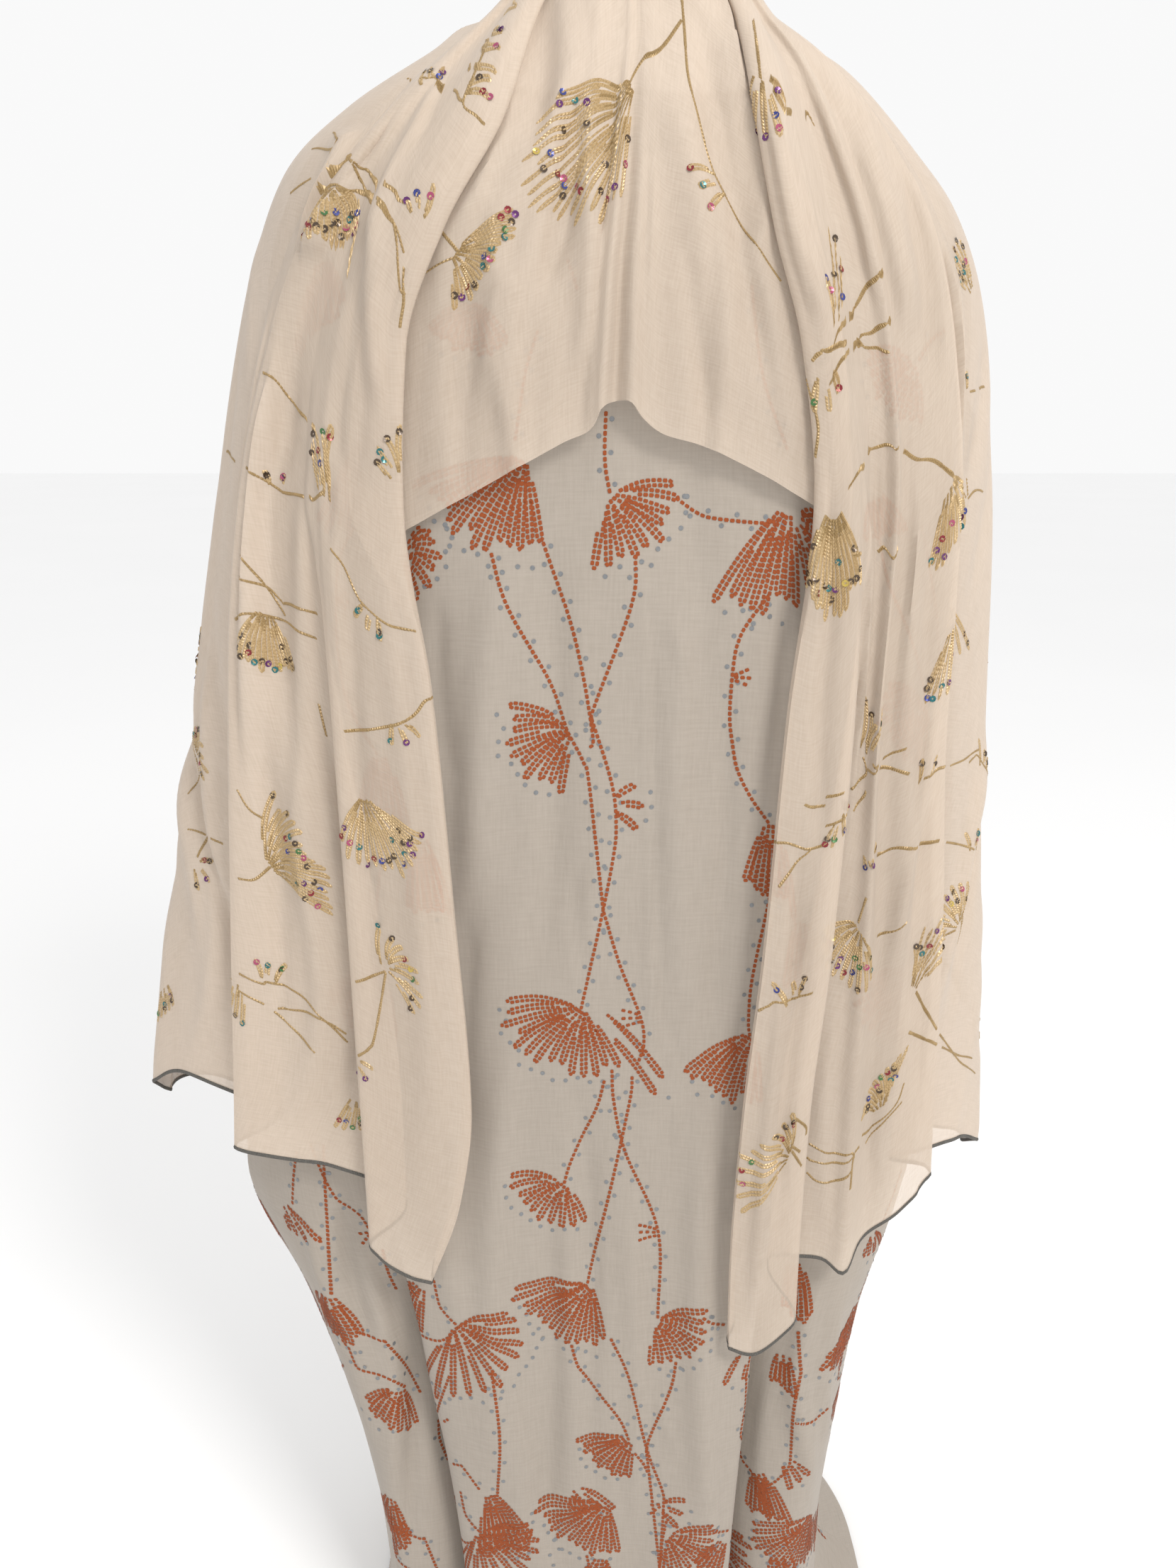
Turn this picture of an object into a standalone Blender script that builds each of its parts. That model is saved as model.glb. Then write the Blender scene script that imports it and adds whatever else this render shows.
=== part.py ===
# Baati dress with its matching shawl, both worn and hollow.
# Metres, +Z up, the front faces -Y, +X is on the viewer's right.
# The origin is the middle of the neck base; the hem of the dress is FLOOR_DROP below it.

import math
from collections import namedtuple

import bmesh
import bpy
import numpy as np

# Driving sizes
FLOOR_DROP = 1.440
DRESS_WALL = 0.0015
SHAWL_WALL = 0.0015
BINDING_WALL = 0.0022
BINDING_WIDTH = 0.008
SEAM_GAP = 0.0003
ROUNDNESS_DRESS = 2.8
ROUNDNESS_SHAWL = 2.4

# Sleeve opening: a lens-shaped slit in each side seam
SLIT_MIDDLE = -0.700
SLIT_HALF_HEIGHT = 0.120
SLIT_HALF_WIDTH = 0.030
SLIT_ROWS = np.array((1.0, 0.7, 0.36, 0.0, -0.36, -0.7, -1.0))
# How far the ends of a cuff's two rims stay from the ends of the slit
CUFF_TIP_OUTER = 0.002
CUFF_TIP_INNER = 0.018

# The shawl's front edges are rolled under, by a share of the front flap's width: more above the
# chest arch than below it
TUCK_ABOVE_ARCH = 0.70
TUCK_BELOW_ARCH = 0.11
TUCK_ENDS = (-0.300, -0.400)
# The chest stretch reaches this far under the side stretches: at the neck, and from the shoulder down
CHEST_TUCK_AT_NECK = 0.003
CHEST_TUCK = 0.024
CHEST_GAP_ANGLE = 0.075
BACK_SEAM_ANGLE = math.radians(123.0)

# Steps in the searches for a level or an angle, and the widest angle that a drape line reaches
LEVEL_SAMPLES = 400
LINE_SAMPLES = 120
WIDEST_LINE = math.radians(88.0)

# Rows and columns of the walls
PANEL_ROWS = 7
SHAWL_ROWS = 16
CHEST_ROWS = 11
CAP_ROWS = 5
CAP_COLUMNS = 28
COLUMNS_EACH = 2

# One level ring round the figure, wider or narrower on each side, and tilted where its heights differ
Ring = namedtuple("Ring", "name left right front back left_z right_z front_z back_z")

DRESS_RINGS = (
    Ring("neck opening", 0.092, 0.092, 0.092, 0.058, 0.004, 0.002, -0.068, 0.010),
    Ring("neck edge", 0.100, 0.100, 0.100, 0.064, 0.002, -0.001, -0.076, 0.004),
    Ring("collar slope", 0.146, 0.147, 0.108, 0.087, 0.001, -0.008, -0.110, -0.027),
    Ring("shoulder", 0.208, 0.205, 0.118, 0.107, -0.0255, -0.054, -0.155, -0.077),
    Ring("shoulder cap", 0.253, 0.2415, 0.126, 0.119, -0.073, -0.0975, -0.205, -0.137),
    Ring("upper arm", 0.279, 0.261, 0.131, 0.125, -0.152, -0.164, -0.265, -0.217),
    Ring("chest", 0.287, 0.267, 0.134, 0.127, -0.300, -0.300, -0.340, -0.310),
    Ring("waist", 0.302, 0.274, 0.135, 0.130, -0.450, -0.450, -0.450, -0.450),
    Ring("hip", 0.326, 0.284, 0.136, 0.134, -0.610, -0.610, -0.610, -0.610),
    Ring("hand", 0.350, 0.284, 0.138, 0.138, -0.770, -0.770, -0.770, -0.770),
    Ring("fullest", 0.354, 0.272, 0.141, 0.142, -0.900, -0.900, -0.900, -0.900),
    Ring("knee", 0.306, 0.236, 0.144, 0.146, -1.030, -1.030, -1.030, -1.030),
    Ring("shin", 0.268, 0.216, 0.147, 0.148, -1.160, -1.160, -1.160, -1.160),
    Ring("ankle", 0.247, 0.205, 0.150, 0.150, -1.290, -1.290, -1.290, -1.290),
    Ring("above floor", 0.242, 0.206, 0.152, 0.152, -1.380, -1.380, -1.380, -1.380),
    Ring("hem", 0.250, 0.262, 0.158, 0.156, -FLOOR_DROP, -FLOOR_DROP, -FLOOR_DROP, -FLOOR_DROP),
)

SHAWL_RINGS = (
    Ring("cap top", 0.006, 0.006, 0.006, 0.006, 0.118, 0.118, 0.118, 0.118),
    Ring("cap brow", 0.046, 0.045, 0.042, 0.040, 0.108, 0.108, 0.106, 0.106),
    Ring("cap edge", 0.074, 0.072, 0.066, 0.060, 0.082, 0.082, 0.076, 0.078),
    Ring("column", 0.088, 0.086, 0.080, 0.072, 0.055, 0.055, 0.036, 0.045),
    Ring("neck base", 0.106, 0.099, 0.093, 0.084, 0.038, 0.034, 0.000, 0.015),
    Ring("slope", 0.150, 0.155, 0.112, 0.105, 0.013, 0.002, -0.048, -0.030),
    Ring("shoulder", 0.211, 0.210, 0.128, 0.124, -0.023, -0.052, -0.105, -0.090),
    Ring("shoulder cap", 0.258, 0.243, 0.138, 0.137, -0.064, -0.092, -0.165, -0.150),
    Ring("upper arm", 0.290, 0.266, 0.144, 0.146, -0.135, -0.145, -0.225, -0.215),
    Ring("arm", 0.314, 0.281, 0.148, 0.152, -0.225, -0.220, -0.290, -0.280),
    Ring("chest", 0.336, 0.292, 0.150, 0.156, -0.330, -0.330, -0.350, -0.350),
    Ring("waist", 0.361, 0.299, 0.152, 0.160, -0.450, -0.450, -0.450, -0.450),
    Ring("hip", 0.386, 0.307, 0.154, 0.164, -0.580, -0.580, -0.580, -0.580),
    Ring("hand", 0.413, 0.318, 0.156, 0.168, -0.700, -0.700, -0.700, -0.700),
    Ring("low", 0.434, 0.327, 0.158, 0.172, -0.820, -0.820, -0.820, -0.820),
    Ring("corner", 0.447, 0.335, 0.162, 0.176, -0.950, -0.950, -0.950, -0.950),
    Ring("tail", 0.455, 0.342, 0.166, 0.178, -1.080, -1.080, -1.080, -1.080),
)

# Levels count rings from the top one. The seam levels hold neighbours a little apart.
NECK_EDGE_RING = 1.0
NECK_SEAM_LEVEL = 0.045
CAP_EDGE_RING = 2.0
SEAM_LEVEL = 0.012
SLOPE_RING = 5.0
SHOULDER_RING = 6.0
RINGS_BEFORE_FOLDS = 2.0

# Distance from the middle plane of each drape line, by height: the front edge, then each fold
LEFT_LINES = (
    # height, edge, fold 1, fold 2
    (0.070, 0.044, 0.056, 0.065),
    (0.020, 0.066, 0.086, 0.104),
    (-0.050, 0.090, 0.130, 0.172),
    (-0.120, 0.131, 0.176, 0.228),
    (-0.195, 0.159, 0.208, 0.258),
    (-0.300, 0.165, 0.222, 0.284),
    (-0.430, 0.148, 0.220, 0.300),
    (-0.600, 0.137, 0.218, 0.311),
    (-0.780, 0.128, 0.216, 0.322),
    (-0.865, 0.139, 0.215, 0.328),
    (-0.950, 0.168, 0.214, 0.333),
)
RIGHT_LINES = (
    # height, edge, fold 1, fold 2, fold 3
    (0.070, 0.044, 0.052, 0.059, 0.065),
    (0.020, 0.066, 0.080, 0.093, 0.104),
    (-0.050, 0.079, 0.102, 0.134, 0.168),
    (-0.120, 0.093, 0.120, 0.164, 0.206),
    (-0.195, 0.114, 0.140, 0.180, 0.222),
    (-0.300, 0.127, 0.156, 0.190, 0.232),
    (-0.450, 0.114, 0.160, 0.185, 0.232),
    (-0.640, 0.104, 0.154, 0.194, 0.244),
    (-0.780, 0.093, 0.144, 0.197, 0.249),
    (-0.930, 0.087, 0.141, 0.200, 0.254),
    (-1.060, 0.088, 0.141, 0.202, 0.258),
)

# One station across the cloth, from its front edge round to the back. line counts the drape lines:
# 0 is the edge, 1 the first fold and so on, then the side and the back seam. Each shift is a
# distance on from that line and each lift is a distance out from the rings, at the shoulder (high)
# and at the hem (low). tuck is the share of the width that is rolled under, hem is the height of
# the cloth's end, and steps is the number of grid columns up to the next station.
Station = namedtuple("Station", "name tuck line shift_high shift_low lift_high lift_low hem steps")

LEFT_STATIONS = (
    Station("under end", 1.00, 0.00, 0.000, 0.000, 0.0032, 0.0040, -0.925, 1),
    Station("under", 0.50, 0.00, 0.000, 0.000, 0.0030, 0.0040, -0.938, 1),
    Station("roll under", 0.04, 0.00, 0.000, 0.000, 0.0042, 0.0050, -0.944, 1),
    Station("roll", -0.06, 0.00, 0.000, 0.000, 0.0068, 0.0080, -0.946, 1),
    Station("roll over", 0.04, 0.00, 0.000, 0.000, 0.0095, 0.0110, -0.945, 1),
    Station("roll top", 0.24, 0.00, 0.000, 0.000, 0.0115, 0.0130, -0.943, 2),
    Station("front flap", 0.00, 0.38, 0.000, 0.000, 0.0135, 0.0150, -0.938, 2),
    Station("front flap outer", 0.00, 0.74, 0.000, 0.000, 0.0120, 0.0180, -0.926, 2),
    Station("front fold rise", 0.00, 1.00, -0.003, -0.003, 0.0100, 0.0190, -0.914, 1),
    Station("front fold", 0.00, 1.00, 0.000, 0.000, 0.0085, 0.0160, -0.908, 1),
    Station("front fold under", 0.00, 1.00, 0.003, -0.003, 0.0065, 0.0130, -0.902, 1),
    Station("front return", 0.00, 1.00, 0.006, -0.014, 0.0050, 0.0105, -0.886, 1),
    Station("front turn", 0.00, 1.00, 0.0085, -0.018, 0.0040, 0.0080, -0.874, 1),
    Station("middle start", 0.00, 1.00, 0.011, -0.014, 0.0035, 0.0058, -0.862, 2),
    Station("middle inner", 0.00, 1.32, 0.008, 0.000, 0.0035, 0.0040, -0.845, 2),
    Station("middle flap", 0.00, 1.60, 0.004, 0.000, 0.0065, 0.0100, -0.840, 2),
    Station("middle fold rise", 0.00, 2.00, -0.003, -0.003, 0.0070, 0.0190, -0.834, 1),
    Station("middle fold", 0.00, 2.00, 0.000, 0.000, 0.0060, 0.0160, -0.830, 1),
    Station("middle fold under", 0.00, 2.00, 0.003, -0.003, 0.0050, 0.0130, -0.824, 1),
    Station("middle return", 0.00, 2.00, 0.006, -0.012, 0.0035, 0.0104, -0.808, 1),
    Station("middle turn", 0.00, 2.00, 0.0085, -0.0145, 0.0025, 0.0074, -0.800, 1),
    Station("outer start", 0.00, 2.00, 0.011, -0.011, 0.0015, 0.0044, -0.796, 2),
    Station("outer inner", 0.00, 2.40, 0.005, 0.000, 0.0010, -0.0010, -0.792, 2),
    Station("outer flap", 0.00, 2.70, 0.000, 0.000, 0.0010, 0.0040, -0.822, 2),
    Station("side", 0.00, 3.00, 0.000, 0.000, 0.0000, 0.0000, -0.860, 2),
    Station("back ridge", 0.00, 3.25, 0.000, 0.000, 0.0030, 0.0140, -0.885, 2),
    Station("back valley", 0.00, 3.50, 0.000, 0.000, 0.0000, -0.0120, -0.915, 2),
    Station("second back ridge", 0.00, 3.76, 0.000, 0.000, 0.0030, 0.0130, -0.938, 2),
    Station("back seam", 0.00, 4.00, 0.000, 0.000, 0.0000, 0.0000, -0.952, 0),
)
RIGHT_STATIONS = (
    Station("under end", 1.00, 0.00, 0.000, 0.000, 0.0032, 0.0040, -0.990, 1),
    Station("under", 0.50, 0.00, 0.000, 0.000, 0.0030, 0.0040, -0.998, 1),
    Station("roll under", 0.04, 0.00, 0.000, 0.000, 0.0042, 0.0050, -1.001, 1),
    Station("roll", -0.06, 0.00, 0.000, 0.000, 0.0068, 0.0080, -1.003, 1),
    Station("roll over", 0.04, 0.00, 0.000, 0.000, 0.0095, 0.0110, -1.005, 1),
    Station("roll top", 0.24, 0.00, 0.000, 0.000, 0.0115, 0.0130, -1.007, 2),
    Station("front flap", 0.00, 0.45, 0.000, 0.000, 0.0130, 0.0170, -1.010, 2),
    Station("front fold rise", 0.00, 1.00, -0.003, -0.003, 0.0115, 0.0200, -0.984, 1),
    Station("front fold", 0.00, 1.00, 0.000, 0.000, 0.0095, 0.0170, -0.974, 1),
    Station("front fold under", 0.00, 1.00, 0.003, -0.003, 0.0075, 0.0140, -0.964, 1),
    Station("front return", 0.00, 1.00, 0.006, -0.013, 0.0055, 0.0112, -0.944, 1),
    Station("front turn", 0.00, 1.00, 0.0085, -0.017, 0.0040, 0.0088, -0.932, 1),
    Station("second start", 0.00, 1.00, 0.011, -0.013, 0.0035, 0.0062, -0.921, 2),
    Station("second inner", 0.00, 1.42, 0.007, 0.000, 0.0040, 0.0050, -0.930, 2),
    Station("second flap", 0.00, 1.72, 0.003, 0.000, 0.0080, 0.0150, -0.941, 2),
    Station("second fold", 0.00, 2.00, 0.000, 0.000, 0.0060, 0.0090, -0.914, 2),
    Station("third flap", 0.00, 2.52, 0.000, 0.000, 0.0070, 0.0150, -0.892, 2),
    Station("third fold rise", 0.00, 3.00, -0.003, -0.003, 0.0070, 0.0180, -0.866, 1),
    Station("third fold", 0.00, 3.00, 0.000, 0.000, 0.0060, 0.0150, -0.858, 1),
    Station("third fold under", 0.00, 3.00, 0.003, -0.003, 0.0045, 0.0120, -0.853, 1),
    Station("third return", 0.00, 3.00, 0.006, -0.013, 0.0030, 0.0094, -0.846, 1),
    Station("third turn", 0.00, 3.00, 0.0085, -0.017, 0.0020, 0.0070, -0.844, 1),
    Station("outer start", 0.00, 3.00, 0.011, -0.013, 0.0010, 0.0045, -0.844, 2),
    Station("outer inner", 0.00, 3.38, 0.005, 0.000, 0.0010, -0.0010, -0.858, 2),
    Station("outer flap", 0.00, 3.70, 0.000, 0.000, 0.0010, 0.0040, -0.886, 2),
    Station("side", 0.00, 4.00, 0.000, 0.000, 0.0000, 0.0000, -0.916, 2),
    Station("back ridge", 0.00, 4.25, 0.000, 0.000, 0.0030, 0.0140, -0.938, 2),
    Station("back valley", 0.00, 4.50, 0.000, 0.000, 0.0000, -0.0120, -0.952, 2),
    Station("second back ridge", 0.00, 4.76, 0.000, 0.000, 0.0030, 0.0130, -0.955, 2),
    Station("back seam", 0.00, 5.00, 0.000, 0.000, 0.0000, 0.0000, -0.952, 0),
)
# Heights between which the folds rise, and between which they lean over
FOLDS_RISE = (-0.080, -0.420)
FOLDS_LEAN = (-0.200, -0.780)
# Share of a fold's lift that it has already at the edge of the cap
LIFT_AT_CAP = 0.45

# The chest stretch, from the left front edge (0) across to the right one (1), with the arched hem
Across = namedtuple("Across", "name tuck place lift_high lift_low hem")
CHEST_STATIONS = (
    Across("left tuck", -1.0, 0.000, 0.000, 0.000, -0.336),
    Across("left edge", 0.0, 0.000, 0.000, 0.000, -0.318),
    Across("left", 0.0, 0.100, 0.000, 0.000, -0.297),
    Across("left rise", 0.0, 0.220, 0.001, 0.003, -0.276),
    Across("left slope", 0.0, 0.340, 0.001, 0.001, -0.258),
    Across("pleat foot", 0.0, 0.420, 0.001, 0.004, -0.249),
    Across("pleat left", 0.0, 0.455, 0.002, 0.009, -0.235),
    Across("pleat", 0.0, 0.492, 0.000, -0.002, -0.230),
    Across("pleat right", 0.0, 0.540, 0.001, 0.008, -0.231),
    Across("pleat end", 0.0, 0.580, 0.001, 0.003, -0.242),
    Across("right slope", 0.0, 0.640, 0.000, 0.000, -0.252),
    Across("right", 0.0, 0.760, 0.001, 0.003, -0.261),
    Across("right fall", 0.0, 0.890, 0.000, 0.000, -0.279),
    Across("right edge", 0.0, 1.000, 0.000, 0.000, -0.300),
    Across("right tuck", 1.0, 1.000, 0.000, 0.000, -0.318),
)
BACK_STATIONS = (
    Across("left seam", 0.0, 0.000, 0.000, 0.000, -0.952),
    Across("left ridge", 0.0, 0.120, 0.001, 0.014, -0.860),
    Across("left valley", 0.0, 0.240, 0.000, -0.010, -0.760),
    Across("left swell", 0.0, 0.370, 0.002, 0.012, -0.670),
    Across("middle left", 0.0, 0.460, 0.001, -0.004, -0.632),
    Across("middle right", 0.0, 0.560, 0.002, 0.009, -0.636),
    Across("right swell", 0.0, 0.680, 0.001, -0.008, -0.696),
    Across("right ridge", 0.0, 0.800, 0.001, 0.013, -0.792),
    Across("right valley", 0.0, 0.910, 0.000, -0.006, -0.884),
    Across("right seam", 0.0, 1.000, 0.000, 0.000, -0.952),
)

# Each dress panel runs from one side seam to the other. place is the distance from the middle
# plane at the knee as a share of the half width there, and lifts make the folds below the hands.
Fold = namedtuple("Fold", "name high low lift_high lift_low")
FRONT_FOLDS = (
    Fold("left seam", -1.000, -1.000, 0.000, 0.000),
    Fold("left side", -0.900, -0.910, 0.000, 0.010),
    Fold("left swell", -0.790, -0.800, 0.000, 0.026),
    Fold("left dip", -0.700, -0.700, 0.000, 0.008),
    Fold("left valley", -0.620, -0.600, 0.000, -0.022),
    Fold("left fold in", -0.570, -0.555, 0.000, -0.010),
    Fold("left fold", -0.535, -0.590, 0.001, 0.012),
    Fold("left panel", -0.440, -0.480, 0.001, 0.021),
    Fold("left ripple", -0.270, -0.270, 0.000, 0.011),
    Fold("middle left", -0.110, -0.110, 0.000, 0.015),
    Fold("middle", 0.040, 0.040, 0.000, 0.010),
    Fold("middle right", 0.160, 0.160, 0.000, 0.016),
    Fold("right panel", 0.320, 0.330, 0.001, 0.020),
    Fold("right fold", 0.430, 0.475, 0.001, 0.010),
    Fold("right fold in", 0.470, 0.450, 0.000, -0.012),
    Fold("right valley", 0.530, 0.500, 0.000, -0.026),
    Fold("right dip", 0.620, 0.610, 0.000, 0.002),
    Fold("right swell", 0.740, 0.740, 0.000, 0.022),
    Fold("right side", 0.880, 0.890, 0.000, 0.010),
    Fold("right seam", 1.000, 1.000, 0.000, 0.000),
)
REAR_FOLDS = (
    Fold("left seam", -1.000, -1.000, 0.000, 0.000),
    Fold("left side", -0.840, -0.840, 0.000, 0.012),
    Fold("left valley", -0.680, -0.680, 0.000, -0.012),
    Fold("left swell", -0.500, -0.500, 0.000, 0.013),
    Fold("left dip", -0.300, -0.300, 0.000, -0.006),
    Fold("middle", -0.080, -0.080, 0.000, 0.012),
    Fold("right dip", 0.160, 0.160, 0.000, -0.007),
    Fold("right swell", 0.360, 0.360, 0.000, 0.014),
    Fold("right valley", 0.560, 0.560, 0.000, -0.010),
    Fold("right side", 0.780, 0.780, 0.000, 0.012),
    Fold("right seam", 1.000, 1.000, 0.000, 0.000),
)
DRESS_FOLD_START = -0.780
DRESS_FOLD_FULL = -1.120

# Colours as linear RGB, with roughness
CLOTH = {
    "dress": ((0.610, 0.585, 0.505), 0.88),
    "binding": ((0.560, 0.535, 0.455), 0.90),
    "shawl": ((0.800, 0.690, 0.540), 0.82),
}


# Curves through short tables

def smoothstep(start, end, value):
    share = np.clip((value - start) / (end - start), 0.0, 1.0)
    return share * share * (3.0 - 2.0 * share)


def through(knots, values, at):
    """A smooth curve through values at rising knots, with no overshoot between them."""
    knots = np.asarray(knots, float)
    values = np.asarray(values, float)
    at = np.clip(np.asarray(at, float), knots[0], knots[-1])
    steps = np.diff(knots)
    rises = np.diff(values) / steps
    slopes = np.zeros(len(values))
    slopes[0] = rises[0]
    slopes[-1] = rises[-1]
    same_way = rises[:-1] * rises[1:] > 0.0
    inner = np.zeros(len(rises) - 1)
    inner[same_way] = (2.0 * rises[:-1] * rises[1:])[same_way] / (rises[:-1] + rises[1:])[same_way]
    slopes[1:-1] = inner
    index = np.clip(np.searchsorted(knots, at, side="right") - 1, 0, len(steps) - 1)
    step = steps[index]
    share = (at - knots[index]) / step
    square = share * share
    cube = square * share
    return (
        (2.0 * cube - 3.0 * square + 1.0) * values[index]
        + (cube - 2.0 * square + share) * step * slopes[index]
        + (3.0 * square - 2.0 * cube) * values[index + 1]
        + (cube - square) * step * slopes[index + 1]
    )


def along(values, at):
    """A rounded curve through values at 0, 1, 2 and so on."""
    values = np.asarray(values, float)
    padded = np.concatenate(([2.0 * values[0] - values[1]], values, [2.0 * values[-1] - values[-2]]))
    index = np.clip(np.floor(at).astype(int), 0, len(values) - 2)
    share = np.asarray(at, float) - index
    before, start, end, after = (padded[index + step] for step in range(4))
    return 0.5 * (
        2.0 * start
        + (end - before) * share
        + (2.0 * before - 5.0 * start + 4.0 * end - after) * share ** 2
        + (3.0 * start - before - 3.0 * end + after) * share ** 3
    )


def values_at(stations, at):
    """The numbers of the stations' fields at a place counted in stations."""
    fields = stations[0]._fields[1:]
    return {field: float(along([getattr(s, field) for s in stations], at)) for field in fields}


# Rings round the figure. An angle is 0 at the front and grows towards +X, and a level counts rings.

class Form:
    def __init__(self, rings, roundness):
        self.count = len(rings)
        self.roundness = roundness
        self.columns = {field: [getattr(ring, field) for ring in rings] for field in Ring._fields[1:]}

    def column(self, field, level):
        return through(range(self.count), self.columns[field], level)

    def point(self, angle, level):
        sine = np.sin(angle)
        cosine = np.cos(angle)
        half = np.where(sine > 0.0, self.column("right", level), self.column("left", level))
        depth = np.where(cosine > 0.0, self.column("front", level), self.column("back", level))
        power = self.roundness
        reach = (np.abs(sine / half) ** power + np.abs(cosine / depth) ** power) ** (-1.0 / power)
        side_z = np.where(sine > 0.0, self.column("right_z", level), self.column("left_z", level))
        end_z = np.where(cosine > 0.0, self.column("front_z", level), self.column("back_z", level))
        height = side_z * sine ** 2 + end_z * cosine ** 2
        return np.stack([reach * sine, -reach * cosine, height], axis=-1)

    def normal(self, angle, level, step=0.01):
        across = self.point(angle + step, level) - self.point(angle - step, level)
        down = self.point(angle, np.clip(level + step, 0, self.count - 1))
        down = down - self.point(angle, np.clip(level - step, 0, self.count - 1))
        out = np.cross(down, across)
        return out / np.linalg.norm(out, axis=-1, keepdims=True)

    def lifted(self, angle, level, lift):
        return self.point(angle, level) + self.normal(angle, level) * np.asarray(lift)[..., None]

    def angle_at(self, side, level, distances, heights):
        """The angle in front where the ring is as far from the middle plane as the drape line."""
        angles = np.linspace(0.0, WIDEST_LINE, LINE_SAMPLES)
        points = self.point(side * angles, np.full(len(angles), float(level)))
        wanted = through(heights, distances, points[:, 2])
        missing = np.abs(points[:, 0]) - wanted
        beyond = np.nonzero(missing > 0.0)[0]
        if len(beyond) == 0:
            return angles[-1]
        last = max(beyond[0], 1)
        share = -missing[last - 1] / (missing[last] - missing[last - 1])
        return angles[last - 1] + share * (angles[last] - angles[last - 1])

    def level_of_height(self, angle_of_level, first, height):
        levels = np.linspace(first, self.count - 1, LEVEL_SAMPLES)
        heights = self.point(angle_of_level(levels), levels)[:, 2]
        return float(np.interp(-height, -heights, levels))


# Closed walls

def wall(name, middle, thickness, material, wrap=False, pole=False, seams=(None, None), brims=(None, None)):
    """A closed wall on both sides of a grid of points (rows down, columns across).

    Where a neighbour butts, seams holds the outward directions down the first and last columns,
    and brims those along the first and last rows."""
    rows, columns = middle.shape[:2]
    if wrap:
        across = np.roll(middle, -1, axis=1) - np.roll(middle, 1, axis=1)
    else:
        across = np.gradient(middle, axis=1)
    out = np.cross(np.gradient(middle, axis=0), across)
    out /= np.maximum(np.linalg.norm(out, axis=-1, keepdims=True), 1e-12)
    for end, seam, brim in zip((0, -1), seams, brims):
        if seam is not None:
            facing = np.sign(np.sum(out[:, end] * seam, axis=-1, keepdims=True))
            out[:, end] = seam * facing
        if brim is not None:
            facing = np.sign(np.sum(out[end] * brim, axis=-1, keepdims=True))
            out[end] = brim * facing
    faces = [middle + out * thickness / 2.0, middle - out * thickness / 2.0]
    mesh = bmesh.new()
    grids = [[[mesh.verts.new(point) for point in row] for row in face] for face in faces]
    last = columns if wrap else columns - 1
    for grid in grids:
        for row in range(rows - 1):
            for column in range(last):
                following = (column + 1) % columns
                mesh.faces.new((
                    grid[row][column], grid[row][following],
                    grid[row + 1][following], grid[row + 1][column],
                ))
    rim_rows = [rows - 1] if pole else [0, rows - 1]
    for row in rim_rows:
        for column in range(last):
            following = (column + 1) % columns
            mesh.faces.new((
                grids[0][row][column], grids[0][row][following],
                grids[1][row][following], grids[1][row][column],
            ))
    if not wrap:
        for column in (0, columns - 1):
            for row in range(rows - 1):
                mesh.faces.new((
                    grids[0][row][column], grids[0][row + 1][column],
                    grids[1][row + 1][column], grids[1][row][column],
                ))
    if pole:
        for grid in grids:
            mesh.faces.new(grid[0])
    bmesh.ops.recalc_face_normals(mesh, faces=mesh.faces)
    data = bpy.data.meshes.new(name)
    mesh.to_mesh(data)
    mesh.free()
    data.shade_smooth()
    data.set_sharp_from_angle(angle=math.radians(50.0))
    data.materials.append(material)
    made = bpy.data.objects.new(name, data)
    bpy.context.scene.collection.objects.link(made)
    return made


def cloth_material(name):
    colour, roughness = CLOTH[name]
    material = bpy.data.materials.new(name + "_cloth")
    material.use_nodes = True
    shader = material.node_tree.nodes["Principled BSDF"]
    shader.inputs["Base Color"].default_value = (*colour, 1.0)
    shader.inputs["Roughness"].default_value = roughness
    shader.inputs["Metallic"].default_value = 0.0
    return material


# The shawl

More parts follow.
